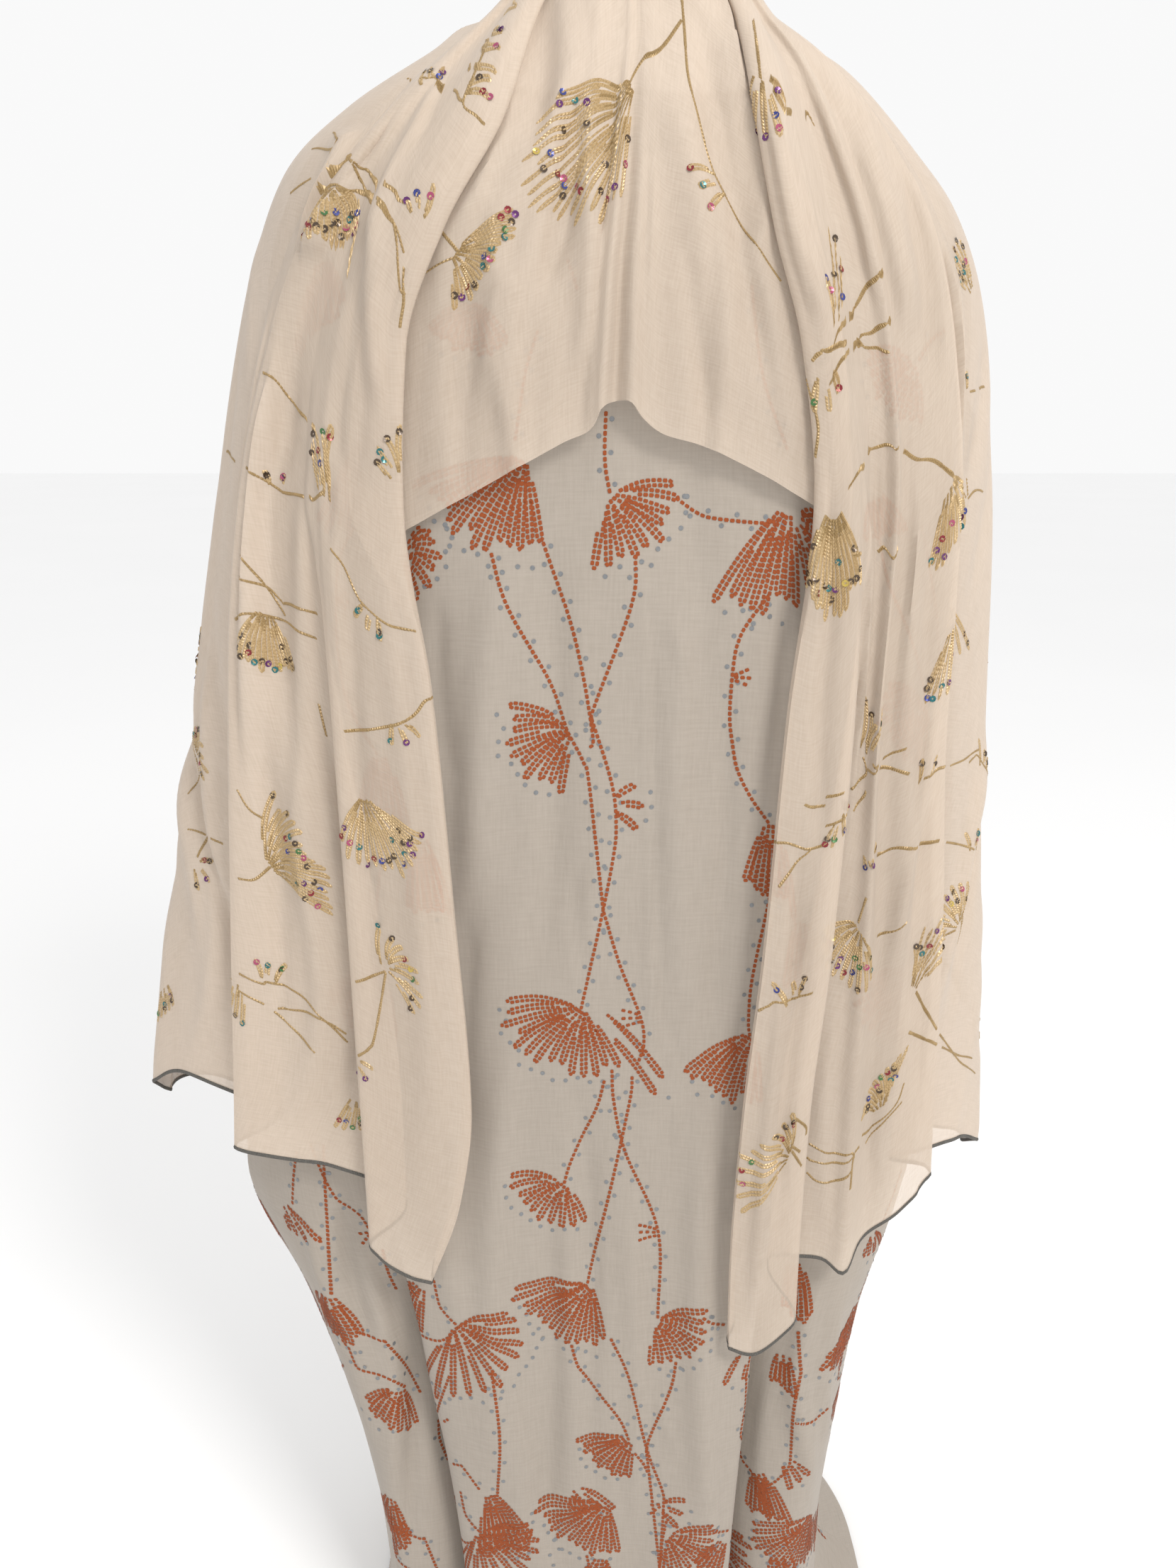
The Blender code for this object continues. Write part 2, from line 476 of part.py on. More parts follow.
class Drape:
    """One side stretch of the shawl: its drape lines turned into angles on the rings."""

    def __init__(self, form, side, lines, stations):
        self.form = form
        self.side = side
        self.stations = stations
        heights, *distances = zip(*reversed(lines))
        self.levels = np.linspace(CAP_EDGE_RING, form.count - 1, LINE_SAMPLES)
        self.angles = [
            [form.angle_at(side, level, line, heights) for level in self.levels] for line in distances
        ]
        self.angles.append([math.pi / 2.0] * len(self.levels))
        self.angles.append([BACK_SEAM_ANGLE] * len(self.levels))

    def line_angle(self, line, level):
        return np.interp(level, self.levels, self.angles[line])

    def place_angle(self, place, levels):
        """The angle at each level of a place counted in drape lines."""
        lines = np.array([self.line_angle(line, levels) for line in range(len(self.angles))])
        lower = np.clip(np.floor(place).astype(int), 0, len(lines) - 2)
        share = place - lower
        across = np.arange(len(levels))
        return lines[lower, across] * (1.0 - share) + lines[lower + 1, across] * share

    def column_curve(self, at, levels):
        """Angle and lift down one column of the cloth."""
        value = values_at(self.stations, at)
        edge = self.form.point(self.side * self.line_angle(0, levels), levels)
        height = edge[:, 2]
        reach = np.linalg.norm(edge[:, :2], axis=1)
        rise = smoothstep(*FOLDS_RISE, height)
        lean = smoothstep(*FOLDS_LEAN, height)
        formed = smoothstep(CAP_EDGE_RING, SLOPE_RING, levels)
        lift = value["lift_high"] + (value["lift_low"] - value["lift_high"]) * rise
        shift = value["shift_high"] + (value["shift_low"] - value["shift_high"]) * lean
        spread = smoothstep(0.0, SHOULDER_RING, levels)
        share = TUCK_ABOVE_ARCH + (TUCK_BELOW_ARCH - TUCK_ABOVE_ARCH) * smoothstep(*TUCK_ENDS, height)
        angle = self.place_angle(value["line"] + value["tuck"] * share, levels)
        return angle + shift * spread / reach, lift * (LIFT_AT_CAP + (1.0 - LIFT_AT_CAP) * formed)

    def column_places(self):
        """Where the grid's columns are, counted in stations."""
        places = [
            index + step / station.steps
            for index, station in enumerate(self.stations)
            for step in range(station.steps)
        ]
        return places + [len(self.stations) - 1]

    def grid(self, rows):
        places = self.column_places()
        first = CAP_EDGE_RING + SEAM_LEVEL
        columns = []
        for at in places:
            hem = values_at(self.stations, at)["hem"]
            end = self.form.level_of_height(
                lambda levels: self.side * self.column_curve(at, levels)[0], first, hem)
            levels = first + (end - first) * np.linspace(0.0, 1.0, rows)
            angle, lift = self.column_curve(at, levels)
            if at == places[-1]:
                reach = np.linalg.norm(self.form.point(self.side * angle, levels)[:, :2], axis=1)
                angle = angle - SEAM_GAP / 2.0 / reach
            columns.append(self.form.lifted(self.side * angle, levels, lift))
        seam = self.form.normal(np.full(rows, self.side * BACK_SEAM_ANGLE), levels)
        return np.stack(columns, axis=1), seam


def across_grid(form, stations, angle_span, first, rows, tuck_width=None):
    """A stretch between two lines on the rings, hemmed at its own height in each column."""
    last = len(stations) - 1
    columns = []
    for at in np.linspace(0.0, last, last * COLUMNS_EACH + 1):
        value = values_at(stations, at)

        def angle_of(levels, value=value):
            start, end = angle_span(levels)
            angle = start + (end - start) * value["place"]
            if tuck_width is None:
                return angle
            reach = np.linalg.norm(form.point(angle, levels)[:, :2], axis=1)
            return angle + value["tuck"] * tuck_width(levels) / reach

        end = form.level_of_height(angle_of, first, value["hem"])
        levels = first + (end - first) * np.linspace(0.0, 1.0, rows)
        fallen = smoothstep(first + RINGS_BEFORE_FOLDS, end, levels)
        lift = value["lift_high"] + (value["lift_low"] - value["lift_high"]) * fallen
        columns.append(form.lifted(angle_of(levels), levels, lift))
    return np.stack(columns, axis=1)


def build_shawl(material):
    form = Form(SHAWL_RINGS, ROUNDNESS_SHAWL)
    left = Drape(form, -1.0, LEFT_LINES, LEFT_STATIONS)
    right = Drape(form, 1.0, RIGHT_LINES, RIGHT_STATIONS)

    angles = np.linspace(-math.pi, math.pi, CAP_COLUMNS, endpoint=False)
    levels = np.linspace(0.0, CAP_EDGE_RING - SEAM_LEVEL, CAP_ROWS)
    cap = np.stack([form.point(angles, np.full(len(angles), level)) for level in levels])
    wall("shawl_neck", cap, SHAWL_WALL, material, wrap=True, pole=True)

    def tucked(levels):
        return smoothstep(SLOPE_RING - 0.6, SHOULDER_RING + 0.6, levels)

    def chest_span(levels):
        # Near the neck the chest stretch stops short of the side stretches; lower it lies under them
        short = CHEST_GAP_ANGLE * (1.0 - tucked(levels))
        return short - left.line_angle(0, levels), right.line_angle(0, levels) - short

    def chest_tuck(levels):
        return CHEST_TUCK_AT_NECK + (CHEST_TUCK - CHEST_TUCK_AT_NECK) * tucked(levels)

    top = CAP_EDGE_RING + SEAM_LEVEL
    chest = across_grid(form, CHEST_STATIONS, chest_span, top, CHEST_ROWS, chest_tuck)
    wall("shawl_chest", chest, SHAWL_WALL, material)

    def back_span(levels):
        reach = np.linalg.norm(form.point(np.full(len(levels), BACK_SEAM_ANGLE), levels)[:, :2], axis=1)
        start = BACK_SEAM_ANGLE + SEAM_GAP / 2.0 / reach
        return -start, start - 2.0 * math.pi

    seams = []
    for name, drape in (("shawl_left", left), ("shawl_right", right)):
        middle, seam = drape.grid(SHAWL_ROWS)
        seams.append(seam)
        wall(name, middle, SHAWL_WALL, material, seams=(None, seam))
    back = across_grid(form, BACK_STATIONS, back_span, top, SHAWL_ROWS)
    wall("shawl_back", back, SHAWL_WALL, material, seams=seams)


# The dress

def slit_half_width(height):
    share = (height - SLIT_MIDDLE) / SLIT_HALF_HEIGHT
    return np.maximum(SLIT_HALF_WIDTH * (1.0 - share ** 2), 0.0)


def side_level(form, height):
    """The level whose ring passes a height at the side seam."""
    return form.level_of_height(lambda levels: np.full(len(levels), math.pi / 2.0), NECK_EDGE_RING, height)


def panel_levels(form, rows):
    """Levels of a panel's rows: even, but for the rows that shape the sleeve opening."""
    heights = SLIT_MIDDLE + SLIT_HALF_HEIGHT * SLIT_ROWS
    slit = np.array([side_level(form, height) for height in heights])
    first = NECK_EDGE_RING + SEAM_LEVEL
    above = np.linspace(first, slit[0], rows)[:-1]
    below = np.linspace(slit[-1], form.count - 1, rows)[1:]
    return np.concatenate([above, slit, below])


def panel_grid(form, folds, front):
    """A panel from side seam to side seam, in front or behind."""
    last = len(folds) - 1
    levels = panel_levels(form, PANEL_ROWS)
    height = form.column("front_z", levels)
    formed = smoothstep(DRESS_FOLD_START, DRESS_FOLD_FULL, height)
    columns = []
    for at in np.linspace(0.0, last, last * COLUMNS_EACH + 1):
        value = values_at(folds, at)
        share = value["high"] + (value["low"] - value["high"]) * formed
        side = math.copysign(1.0, value["high"])
        angle = panel_angle(form, levels, np.abs(share), front, side)
        if at in (0.0, float(last)):
            seam_z = form.column("left_z" if side < 0.0 else "right_z", levels)
            reach = form.column("left" if side < 0.0 else "right", levels)
            angle = angle - (slit_half_width(seam_z) + SEAM_GAP / 2.0) / reach
        lift = value["lift_high"] + (value["lift_low"] - value["lift_high"]) * formed
        turned = side * angle if front else math.pi - side * angle
        columns.append(form.lifted(turned, levels, lift))
    seams = [form.normal(np.full(len(levels), side * math.pi / 2.0), levels) for side in (-1.0, 1.0)]
    middle = np.stack(columns, axis=1)
    neck_angles = np.arctan2(middle[0, :, 0], -middle[0, :, 1])
    return middle, seams, neck_angles


def panel_angle(form, levels, share, front, side):
    """The angle whose distance from the middle plane is this share of the half width."""
    half = form.column("left" if side < 0.0 else "right", levels)
    depth = form.column("front" if front else "back", levels)
    power = form.roundness
    forward = depth * np.maximum(1.0 - np.minimum(share, 1.0) ** power, 0.0) ** (1.0 / power)
    return np.arctan2(share * half, forward)


def cuff_grid(form, side):
    """The binding inside the rim of a sleeve opening, as a loop: down its front and up its back."""
    rows = SLIT_HALF_HEIGHT * SLIT_ROWS[1:-1]
    breadth = slit_half_width(SLIT_MIDDLE + rows)
    loops = []
    for inset, tip, scale in (
        (2.0 * SEAM_GAP, CUFF_TIP_OUTER, 1.0),
        (BINDING_WIDTH, CUFF_TIP_INNER, 1.0 - CUFF_TIP_INNER / SLIT_HALF_HEIGHT),
    ):
        end = SLIT_HALF_HEIGHT - tip
        narrowed = breadth - inset
        heights = SLIT_MIDDLE + np.concatenate([[end], rows * scale, [-end], rows[::-1] * scale])
        breadths = np.concatenate([[0.0], -narrowed, [0.0], narrowed[::-1]])
        levels = np.array([side_level(form, height) for height in heights])
        reach = form.column("left" if side < 0.0 else "right", levels)
        loops.append(form.point(side * (math.pi / 2.0 + breadths / reach), levels))
    return np.stack(loops)


def build_dress(cloth, binding):
    form = Form(DRESS_RINGS, ROUNDNESS_DRESS)
    loop = []
    for name, folds, front in (("dress_front", FRONT_FOLDS, True), ("dress_back", REAR_FOLDS, False)):
        middle, seams, neck_angles = panel_grid(form, folds, front)
        brim = form.normal(neck_angles, np.full(len(neck_angles), NECK_EDGE_RING))
        wall(name, middle, DRESS_WALL, cloth, seams=seams, brims=(brim, None))
        loop.extend(neck_angles[1:-1])
    # The binding's corners lie on the same angles as the panels' corners, so its rim runs beside theirs
    loop = np.sort(np.array(loop + [-math.pi / 2.0, math.pi / 2.0]))
    levels = (0.0, NECK_EDGE_RING - NECK_SEAM_LEVEL)
    neck = np.stack([form.point(loop, np.full(len(loop), level)) for level in levels])
    brim = form.normal(loop, np.full(len(loop), NECK_EDGE_RING))
    wall("neck_binding", neck, BINDING_WALL, binding, wrap=True, brims=(brim, brim))
    for side, name in ((-1.0, "cuff_left"), (1.0, "cuff_right")):
        wall(name, cuff_grid(form, side), BINDING_WALL, binding, wrap=True)


def main():
    for old in list(bpy.data.objects):
        bpy.data.objects.remove(old)
    build_dress(cloth_material("dress"), cloth_material("binding"))
    build_shawl(cloth_material("shawl"))


main()
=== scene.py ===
import math
from collections import namedtuple

import bpy
import numpy as np
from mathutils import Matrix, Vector
from mathutils.bvhtree import BVHTree


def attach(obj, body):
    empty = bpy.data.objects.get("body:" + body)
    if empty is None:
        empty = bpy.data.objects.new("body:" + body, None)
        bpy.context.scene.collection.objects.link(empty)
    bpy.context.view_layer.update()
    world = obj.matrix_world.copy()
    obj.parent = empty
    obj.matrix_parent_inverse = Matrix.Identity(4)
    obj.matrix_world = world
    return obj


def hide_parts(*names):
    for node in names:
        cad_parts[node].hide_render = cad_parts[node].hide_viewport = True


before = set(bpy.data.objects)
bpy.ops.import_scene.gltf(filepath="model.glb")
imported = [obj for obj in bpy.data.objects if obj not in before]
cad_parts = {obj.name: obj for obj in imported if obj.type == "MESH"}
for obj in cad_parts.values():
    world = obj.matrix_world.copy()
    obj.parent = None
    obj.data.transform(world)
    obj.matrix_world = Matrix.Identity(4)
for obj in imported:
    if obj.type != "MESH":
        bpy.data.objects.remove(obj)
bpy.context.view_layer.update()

# Baati dress with its matching shawl, in the shared frame.
# Metres, +Z up, the front faces -Y, +X is on the viewer's right.

# Driving sizes
FLOOR_DROP = 1.440
BINDING_WIDTH = 0.008
ROUNDNESS_DRESS = 2.8
ROUNDNESS_SHAWL = 2.4

# Sleeve opening: a lens-shaped slit in each side seam
SLIT_MIDDLE = -0.700
SLIT_HALF_HEIGHT = 0.120
SLIT_HALF_WIDTH = 0.030
# How far the ends of a cuff's two rims stay from the ends of the slit
CUFF_TIP_OUTER = 0.002
CUFF_TIP_INNER = 0.018

# The shawl's front edges are rolled under, by a share of the front flap's width: more above the
# chest arch than below it
TUCK_ABOVE_ARCH = 0.70
TUCK_BELOW_ARCH = 0.11
TUCK_ENDS = (-0.300, -0.400)
# The chest stretch reaches this far under the side stretches: at the neck, and from the shoulder down
CHEST_TUCK_AT_NECK = 0.003
CHEST_TUCK = 0.024
BACK_SEAM_ANGLE = math.radians(123.0)

# Steps in the searches for a level or an angle, and the widest angle that a drape line reaches
LEVEL_SAMPLES = 400
LINE_SAMPLES = 120
WIDEST_LINE = math.radians(88.0)

# Stations from a side seam over which a panel draws back
SEAM_STATIONS = 0.5

# The tables of form, flowers, stems and creases count in millimetres
MILLIMETRES = 1000.0

# Level rings round the figure: how wide to the left and right, how deep in front and behind, and
# the heights at the left, right, front and back, or one height for all
Ring = namedtuple("Ring", "left right front back left_z right_z front_z back_z")
DRESS_RINGS = (
    (92, 92, 92, 58, 4, 2, -68, 10),  # neck opening
    (100, 100, 100, 64, 2, -1, -76, 4),  # neck edge
    (146, 147, 108, 87, 1, -8, -110, -27),  # collar slope
    (208, 205, 118, 107, -25.5, -54, -155, -77),  # shoulder
    (253, 241.5, 126, 119, -73, -97.5, -205, -137),  # shoulder cap
    (279, 261, 131, 125, -152, -164, -265, -217),  # upper arm
    (287, 267, 134, 127, -300, -300, -340, -310),  # chest
    (302, 274, 135, 130, -450),  # waist
    (326, 284, 136, 134, -610),  # hip
    (350, 284, 138, 138, -770),  # hand
    (354, 272, 141, 142, -900),  # fullest
    (306, 236, 144, 146, -1030),  # knee
    (268, 216, 147, 148, -1160),  # shin
    (247, 205, 150, 150, -1290),  # ankle
    (242, 206, 152, 152, -1380),  # above floor
    (250, 262, 158, 156, -FLOOR_DROP * MILLIMETRES),  # hem
)
SHAWL_RINGS = (
    (6, 6, 6, 6, 118),  # cap top
    (46, 45, 42, 40, 108, 108, 106, 106),  # cap brow
    (74, 72, 66, 60, 82, 82, 76, 78),  # cap edge
    (88, 86, 80, 72, 55, 55, 36, 45),  # column
    (106, 99, 93, 84, 38, 34, 0, 15),  # neck base
    (150, 155, 112, 105, 13, 2, -48, -30),  # slope
    (211, 210, 128, 124, -23, -52, -105, -90),  # shoulder
    (258, 243, 138, 137, -64, -92, -165, -150),  # shoulder cap
    (290, 266, 144, 146, -135, -145, -225, -215),  # upper arm
    (314, 281, 148, 152, -225, -220, -290, -280),  # arm
    (336, 292, 150, 156, -330, -330, -350, -350),  # chest
    (361, 299, 152, 160, -450),  # waist
    (386, 307, 154, 164, -580),  # hip
    (413, 318, 156, 168, -700),  # hand
    (434, 327, 158, 172, -820),  # low
    (447, 335, 162, 176, -950),  # corner
    (455, 342, 166, 178, -1080),  # tail
)

# Levels count rings from the top one
NECK_EDGE_RING = 1.0
CAP_EDGE_RING = 2.0
SLOPE_RING = 5.0
SHOULDER_RING = 6.0
RINGS_BEFORE_FOLDS = 2.0

# Drape lines: a height, then the distances from the middle plane of the front edge and of each fold
LEFT_LINES = (
    (70, 44, 56, 65), (20, 66, 86, 104), (-50, 90, 130, 172), (-120, 131, 176, 228),
    (-195, 159, 208, 258), (-300, 165, 222, 284), (-430, 148, 220, 300), (-600, 137, 218, 311),
    (-780, 128, 216, 322), (-865, 139, 215, 328), (-950, 168, 214, 333),
)
RIGHT_LINES = (
    (70, 44, 52, 59, 65), (20, 66, 80, 93, 104), (-50, 79, 102, 134, 168), (-120, 93, 120, 164, 206),
    (-195, 114, 140, 180, 222), (-300, 127, 156, 190, 232), (-450, 114, 160, 185, 232),
    (-640, 104, 154, 194, 244), (-780, 93, 144, 197, 249), (-930, 87, 141, 200, 254),
    (-1060, 88, 141, 202, 258),
)

# Stations across the cloth, from its front edge round to the back. tuck is the share of the width
# that is rolled under. line counts the drape lines: 0 is the edge, 1 the first fold and so on, then
# the side and the back seam. Each shift is a distance on from that line and each lift is a distance
# out from the rings, at the shoulder (high) and at the hem (low). hem is the height of the cloth's end.
Station = namedtuple("Station", "tuck line shift_high shift_low lift_high lift_low hem")
LEFT_STATIONS = (
    # rolled edge
    (1, 0, 0, 0, 3.2, 4, -925), (0.5, 0, 0, 0, 3, 4, -938), (0.04, 0, 0, 0, 4.2, 5, -944),
    (-0.06, 0, 0, 0, 6.8, 8, -946), (0.04, 0, 0, 0, 9.5, 11, -945), (0.24, 0, 0, 0, 11.5, 13, -943),
    # front flap
    (0, 0.38, 0, 0, 13.5, 15, -938), (0, 0.74, 0, 0, 12, 18, -926),
    # first fold
    (0, 1, -3, -3, 10, 19, -914), (0, 1, 0, 0, 8.5, 16, -908), (0, 1, 3, -3, 6.5, 13, -902),
    (0, 1, 6, -14, 5, 10.5, -886), (0, 1, 8.5, -18, 4, 8, -874),
    # second flap
    (0, 1, 11, -14, 3.5, 5.8, -862), (0, 1.32, 8, 0, 3.5, 4, -845), (0, 1.6, 4, 0, 6.5, 10, -840),
    # second fold
    (0, 2, -3, -3, 7, 19, -834), (0, 2, 0, 0, 6, 16, -830), (0, 2, 3, -3, 5, 13, -824),
    (0, 2, 6, -12, 3.5, 10.4, -808), (0, 2, 8.5, -14.5, 2.5, 7.4, -800),
    # outer flap
    (0, 2, 11, -11, 1.5, 4.4, -796), (0, 2.4, 5, 0, 1, -1, -792), (0, 2.7, 0, 0, 1, 4, -822),
    # side and back
    (0, 3, 0, 0, 0, 0, -860), (0, 3.25, 0, 0, 3, 14, -885), (0, 3.5, 0, 0, 0, -12, -915),
    (0, 3.76, 0, 0, 3, 13, -938), (0, 4, 0, 0, 0, 0, -952),
)
RIGHT_STATIONS = (
    # rolled edge
    (1, 0, 0, 0, 3.2, 4, -990), (0.5, 0, 0, 0, 3, 4, -998), (0.04, 0, 0, 0, 4.2, 5, -1001),
    (-0.06, 0, 0, 0, 6.8, 8, -1003), (0.04, 0, 0, 0, 9.5, 11, -1005), (0.24, 0, 0, 0, 11.5, 13, -1007),
    # front flap
    (0, 0.45, 0, 0, 13, 17, -1010),
    # first fold
    (0, 1, -3, -3, 11.5, 20, -984), (0, 1, 0, 0, 9.5, 17, -974), (0, 1, 3, -3, 7.5, 14, -964),
    (0, 1, 6, -13, 5.5, 11.2, -944), (0, 1, 8.5, -17, 4, 8.8, -932),
    # second flap and fold
    (0, 1, 11, -13, 3.5, 6.2, -921), (0, 1.42, 7, 0, 4, 5, -930), (0, 1.72, 3, 0, 8, 15, -941),
    (0, 2, 0, 0, 6, 9, -914),
    # third flap
    (0, 2.52, 0, 0, 7, 15, -892),
    # third fold
    (0, 3, -3, -3, 7, 18, -866), (0, 3, 0, 0, 6, 15, -858), (0, 3, 3, -3, 4.5, 12, -853),
    (0, 3, 6, -13, 3, 9.4, -846), (0, 3, 8.5, -17, 2, 7, -844),
    # outer flap
    (0, 3, 11, -13, 1, 4.5, -844), (0, 3.38, 5, 0, 1, -1, -858), (0, 3.7, 0, 0, 1, 4, -886),
    # side and back
    (0, 4, 0, 0, 0, 0, -916), (0, 4.25, 0, 0, 3, 14, -938), (0, 4.5, 0, 0, 0, -12, -952),
    (0, 4.76, 0, 0, 3, 13, -955), (0, 5, 0, 0, 0, 0, -952),
)
# Heights between which the folds rise, and between which they lean over
FOLDS_RISE = (-0.080, -0.420)
FOLDS_LEAN = (-0.200, -0.780)
# Share of a fold's lift that it has already at the edge of the cap
LIFT_AT_CAP = 0.45

# The chest stretch, from the left front edge (0) across to the right one (1), with the arched hem,
# and the back stretch from the left seam (0) to the right one (1)
Across = namedtuple("Across", "tuck place lift_high lift_low hem")
CHEST_STATIONS = (
    (-1, 0, 0, 0, -336), (0, 0, 0, 0, -318), (0, 0.1, 0, 0, -297), (0, 0.22, 1, 3, -276),
    (0, 0.34, 1, 1, -258), (0, 0.42, 1, 4, -249), (0, 0.455, 2, 9, -235), (0, 0.492, 0, -2, -230),
    (0, 0.54, 1, 8, -231), (0, 0.58, 1, 3, -242), (0, 0.64, 0, 0, -252), (0, 0.76, 1, 3, -261),
    (0, 0.89, 0, 0, -279), (0, 1, 0, 0, -300), (1, 1, 0, 0, -318),
)
BACK_STATIONS = (
    (0, 0, 0, 0, -952), (0, 0.12, 1, 14, -860), (0, 0.24, 0, -10, -760), (0, 0.37, 2, 12, -670),
    (0, 0.46, 1, -4, -632), (0, 0.56, 2, 9, -636), (0, 0.68, 1, -8, -696), (0, 0.8, 1, 13, -792),
    (0, 0.91, 0, -6, -884), (0, 1, 0, 0, -952),
)

# Each dress panel, from its left side seam to its right one: shares of the half width, above (high)
# and below (low) the hands, and the lifts that make its folds there
Fold = namedtuple("Fold", "high low lift_high lift_low")
FRONT_FOLDS = (
    (-1, -1, 0, 0), (-0.9, -0.91, 0, 10), (-0.79, -0.8, 0, 26), (-0.7, -0.7, 0, 8),
    (-0.62, -0.6, 0, -22), (-0.57, -0.555, 0, -10), (-0.535, -0.59, 1, 12), (-0.44, -0.48, 1, 21),
    (-0.27, -0.27, 0, 11), (-0.11, -0.11, 0, 15), (0.04, 0.04, 0, 10), (0.16, 0.16, 0, 16),
    (0.32, 0.33, 1, 20), (0.43, 0.475, 1, 10), (0.47, 0.45, 0, -12), (0.53, 0.5, 0, -26),
    (0.62, 0.61, 0, 2), (0.74, 0.74, 0, 22), (0.88, 0.89, 0, 10), (1, 1, 0, 0),
)
REAR_FOLDS = (
    (-1, -1, 0, 0), (-0.84, -0.84, 0, 12), (-0.68, -0.68, 0, -12), (-0.5, -0.5, 0, 13),
    (-0.3, -0.3, 0, -6), (-0.08, -0.08, 0, 12), (0.16, 0.16, 0, -7), (0.36, 0.36, 0, 14),
    (0.56, 0.56, 0, -10), (0.78, 0.78, 0, 12), (1, 1, 0, 0),
)
DRESS_FOLD_START = -0.780
DRESS_FOLD_FULL = -1.120

# Samples between rings and between stations, steps and rounds of the searches on the grids, and
# how far a place that they find may be from the one that is asked for
RING_SAMPLES = 160
PLACE_SAMPLES = 8
NORMAL_STEP = 0.01
SEARCH_STEPS = 13
SEARCH_ROUNDS = 3
ON_CLOTH = 0.004
# Levels at which the width of a shawl's stretch is measured, and the rows for a dress panel
PLACE_LEVELS = (4.0, 8.0, 12.0, 14.5)
PANEL_PICKS = 6
# Tight turns get more columns: this much is added to each step's width
TURN_STEP = 0.004
SHARP_ANGLE = math.radians(60.0)
CLOTH_THICKNESS = 0.0009
BAND_THICKNESS = 0.0020
# Stitches start this far inside the cloth
SUNK = 0.0001
GRID_SIZES = {
    # rows, columns
    "dress_front": (180, 190),
    "dress_back": (90, 130),
    "shawl_left": (210, 205),
    "shawl_right": (220, 205),
    "shawl_back": (90, 120),
    "shawl_chest": (110, 120),
}
CAP_FINE_ROWS = 18

# Soft creases: from one place on the cloth, across and above the hem, to another
Crease = namedtuple("Crease", "u up end_u end_up width height bow")
RIPPLE_SEED = 40
RIPPLE_HALF_LENGTH = (0.06, 0.20)
RIPPLE_BOW = 0.004
RIPPLE_WIDTHS = (0.6, 1.7)
# Ripples on each kind of cloth: how many, their height, width and lean
RIPPLES = {"dress": (70, 0.0013, 0.010, 0.08), "shawl": (70, 0.0016, 0.010, 0.10)}
# All creases are this much stronger than their rows say
CREASE_SHARE = 1.9
# A crease rises over its first stretch and sinks over its last one, as shares of its length
CREASE_RISES = (-0.06, 0.24)
CREASE_SINKS = (0.76, 1.06)
DEEPEST_CREASE = 0.0065
HIGHEST_CREASE = 0.0095
# A crease takes at most this share of the way to the cloth over or under it
ROOM_SHARE = 0.42
ROOM_SPREAD = 2
RAY_START = 0.0003
# Creases fade where the cloth turns by these angles from one column to the next
TURN_SPREAD = 3
SHARP_TURN = (math.radians(9.0), math.radians(20.0))

# Flowers. Angles are in degrees from the direction across the cloth, towards its top.
Flower = namedtuple("Flower", "at first last length_first length_last petals")
Petal = namedtuple("Petal", "root start bend length late")
LINE_STEPS = 10
PETAL_STEPS = 22
# Width of the ridge that the petals spring from, and how far out every second one starts
FLOWER_RIDGE = 0.011
CROWDED_SHARE = 0.24
# Petals further from straight down than this droop, by a share of the rest, and the others sweep out
DROOP_FROM = 55.0
DROOP_SHARE = 0.8
DROOP_MOST = 30.0
SWEEP_SHARE = 0.22
BEND_POWER = 1.2
PETAL_OPENS = (-0.15, 0.50)
PETAL_TIP = 0.9
PETAL_LENGTHS = (0.84, 1.04)
PETAL_LATENESS = (0.04, 0.26)

# Dashes and stitches: pitch along a line, length and width, and lift over the cloth's middle
DASH_PHASES = (0.2, 0.8)
# Share of the pitch before and after a dash over which its direction is taken
DASH_REACH = 0.25
DASH_CORNERS = np.array((
    (-1.0, 0.0), (-0.72, -1.0), (0.72, -1.0), (1.0, 0.0), (0.72, 1.0), (-0.72, 1.0),
))
LIFT_STEPS = 13
LIFT_STEP = 0.00002
PRINT_SEED = 11
PRINT_PITCH = 0.0040
PRINT_DASH = (0.0035, 0.0027)
PRINT_LIFT = CLOTH_THICKNESS / 2.0 + 0.00025
PETAL_HALF_WIDTH = 0.0018
STEM_PITCH = 0.0043
STEM_DASH = (0.0036, 0.0026)
STITCH_SEED = 12
STITCH_PITCH = 0.0024
STITCH = (0.0030, 0.0021)
STITCH_LIFT = CLOTH_THICKNESS / 2.0 - SUNK
STITCH_CROWN = 0.0008
STITCHED_HALF_WIDTH = 0.0012
# Stitched petals are darker where they are nearer their base than this: 0 is the tip and 1 the base
BASE_SHARE = 0.80

# Silver dots beside the print: their spacing, and how far they lie from tips and stems
GLITTER_SEED = 13
GLITTER_SPACING = 0.010
GLITTER_BEYOND = 0.006
GLITTER_REACHES = (0.92, 1.06)
# Pitches of a stem's dashes between its dots
GLITTER_EVERY = 2.5
GLITTER_ASIDE = 0.0045
GLITTER_RADIUS = 0.0019
GLITTER_TILT = 0.05
DISC_SIDES = 8
# A disc's directions are found from places this far from its middle
DISC_PROBE = 0.002

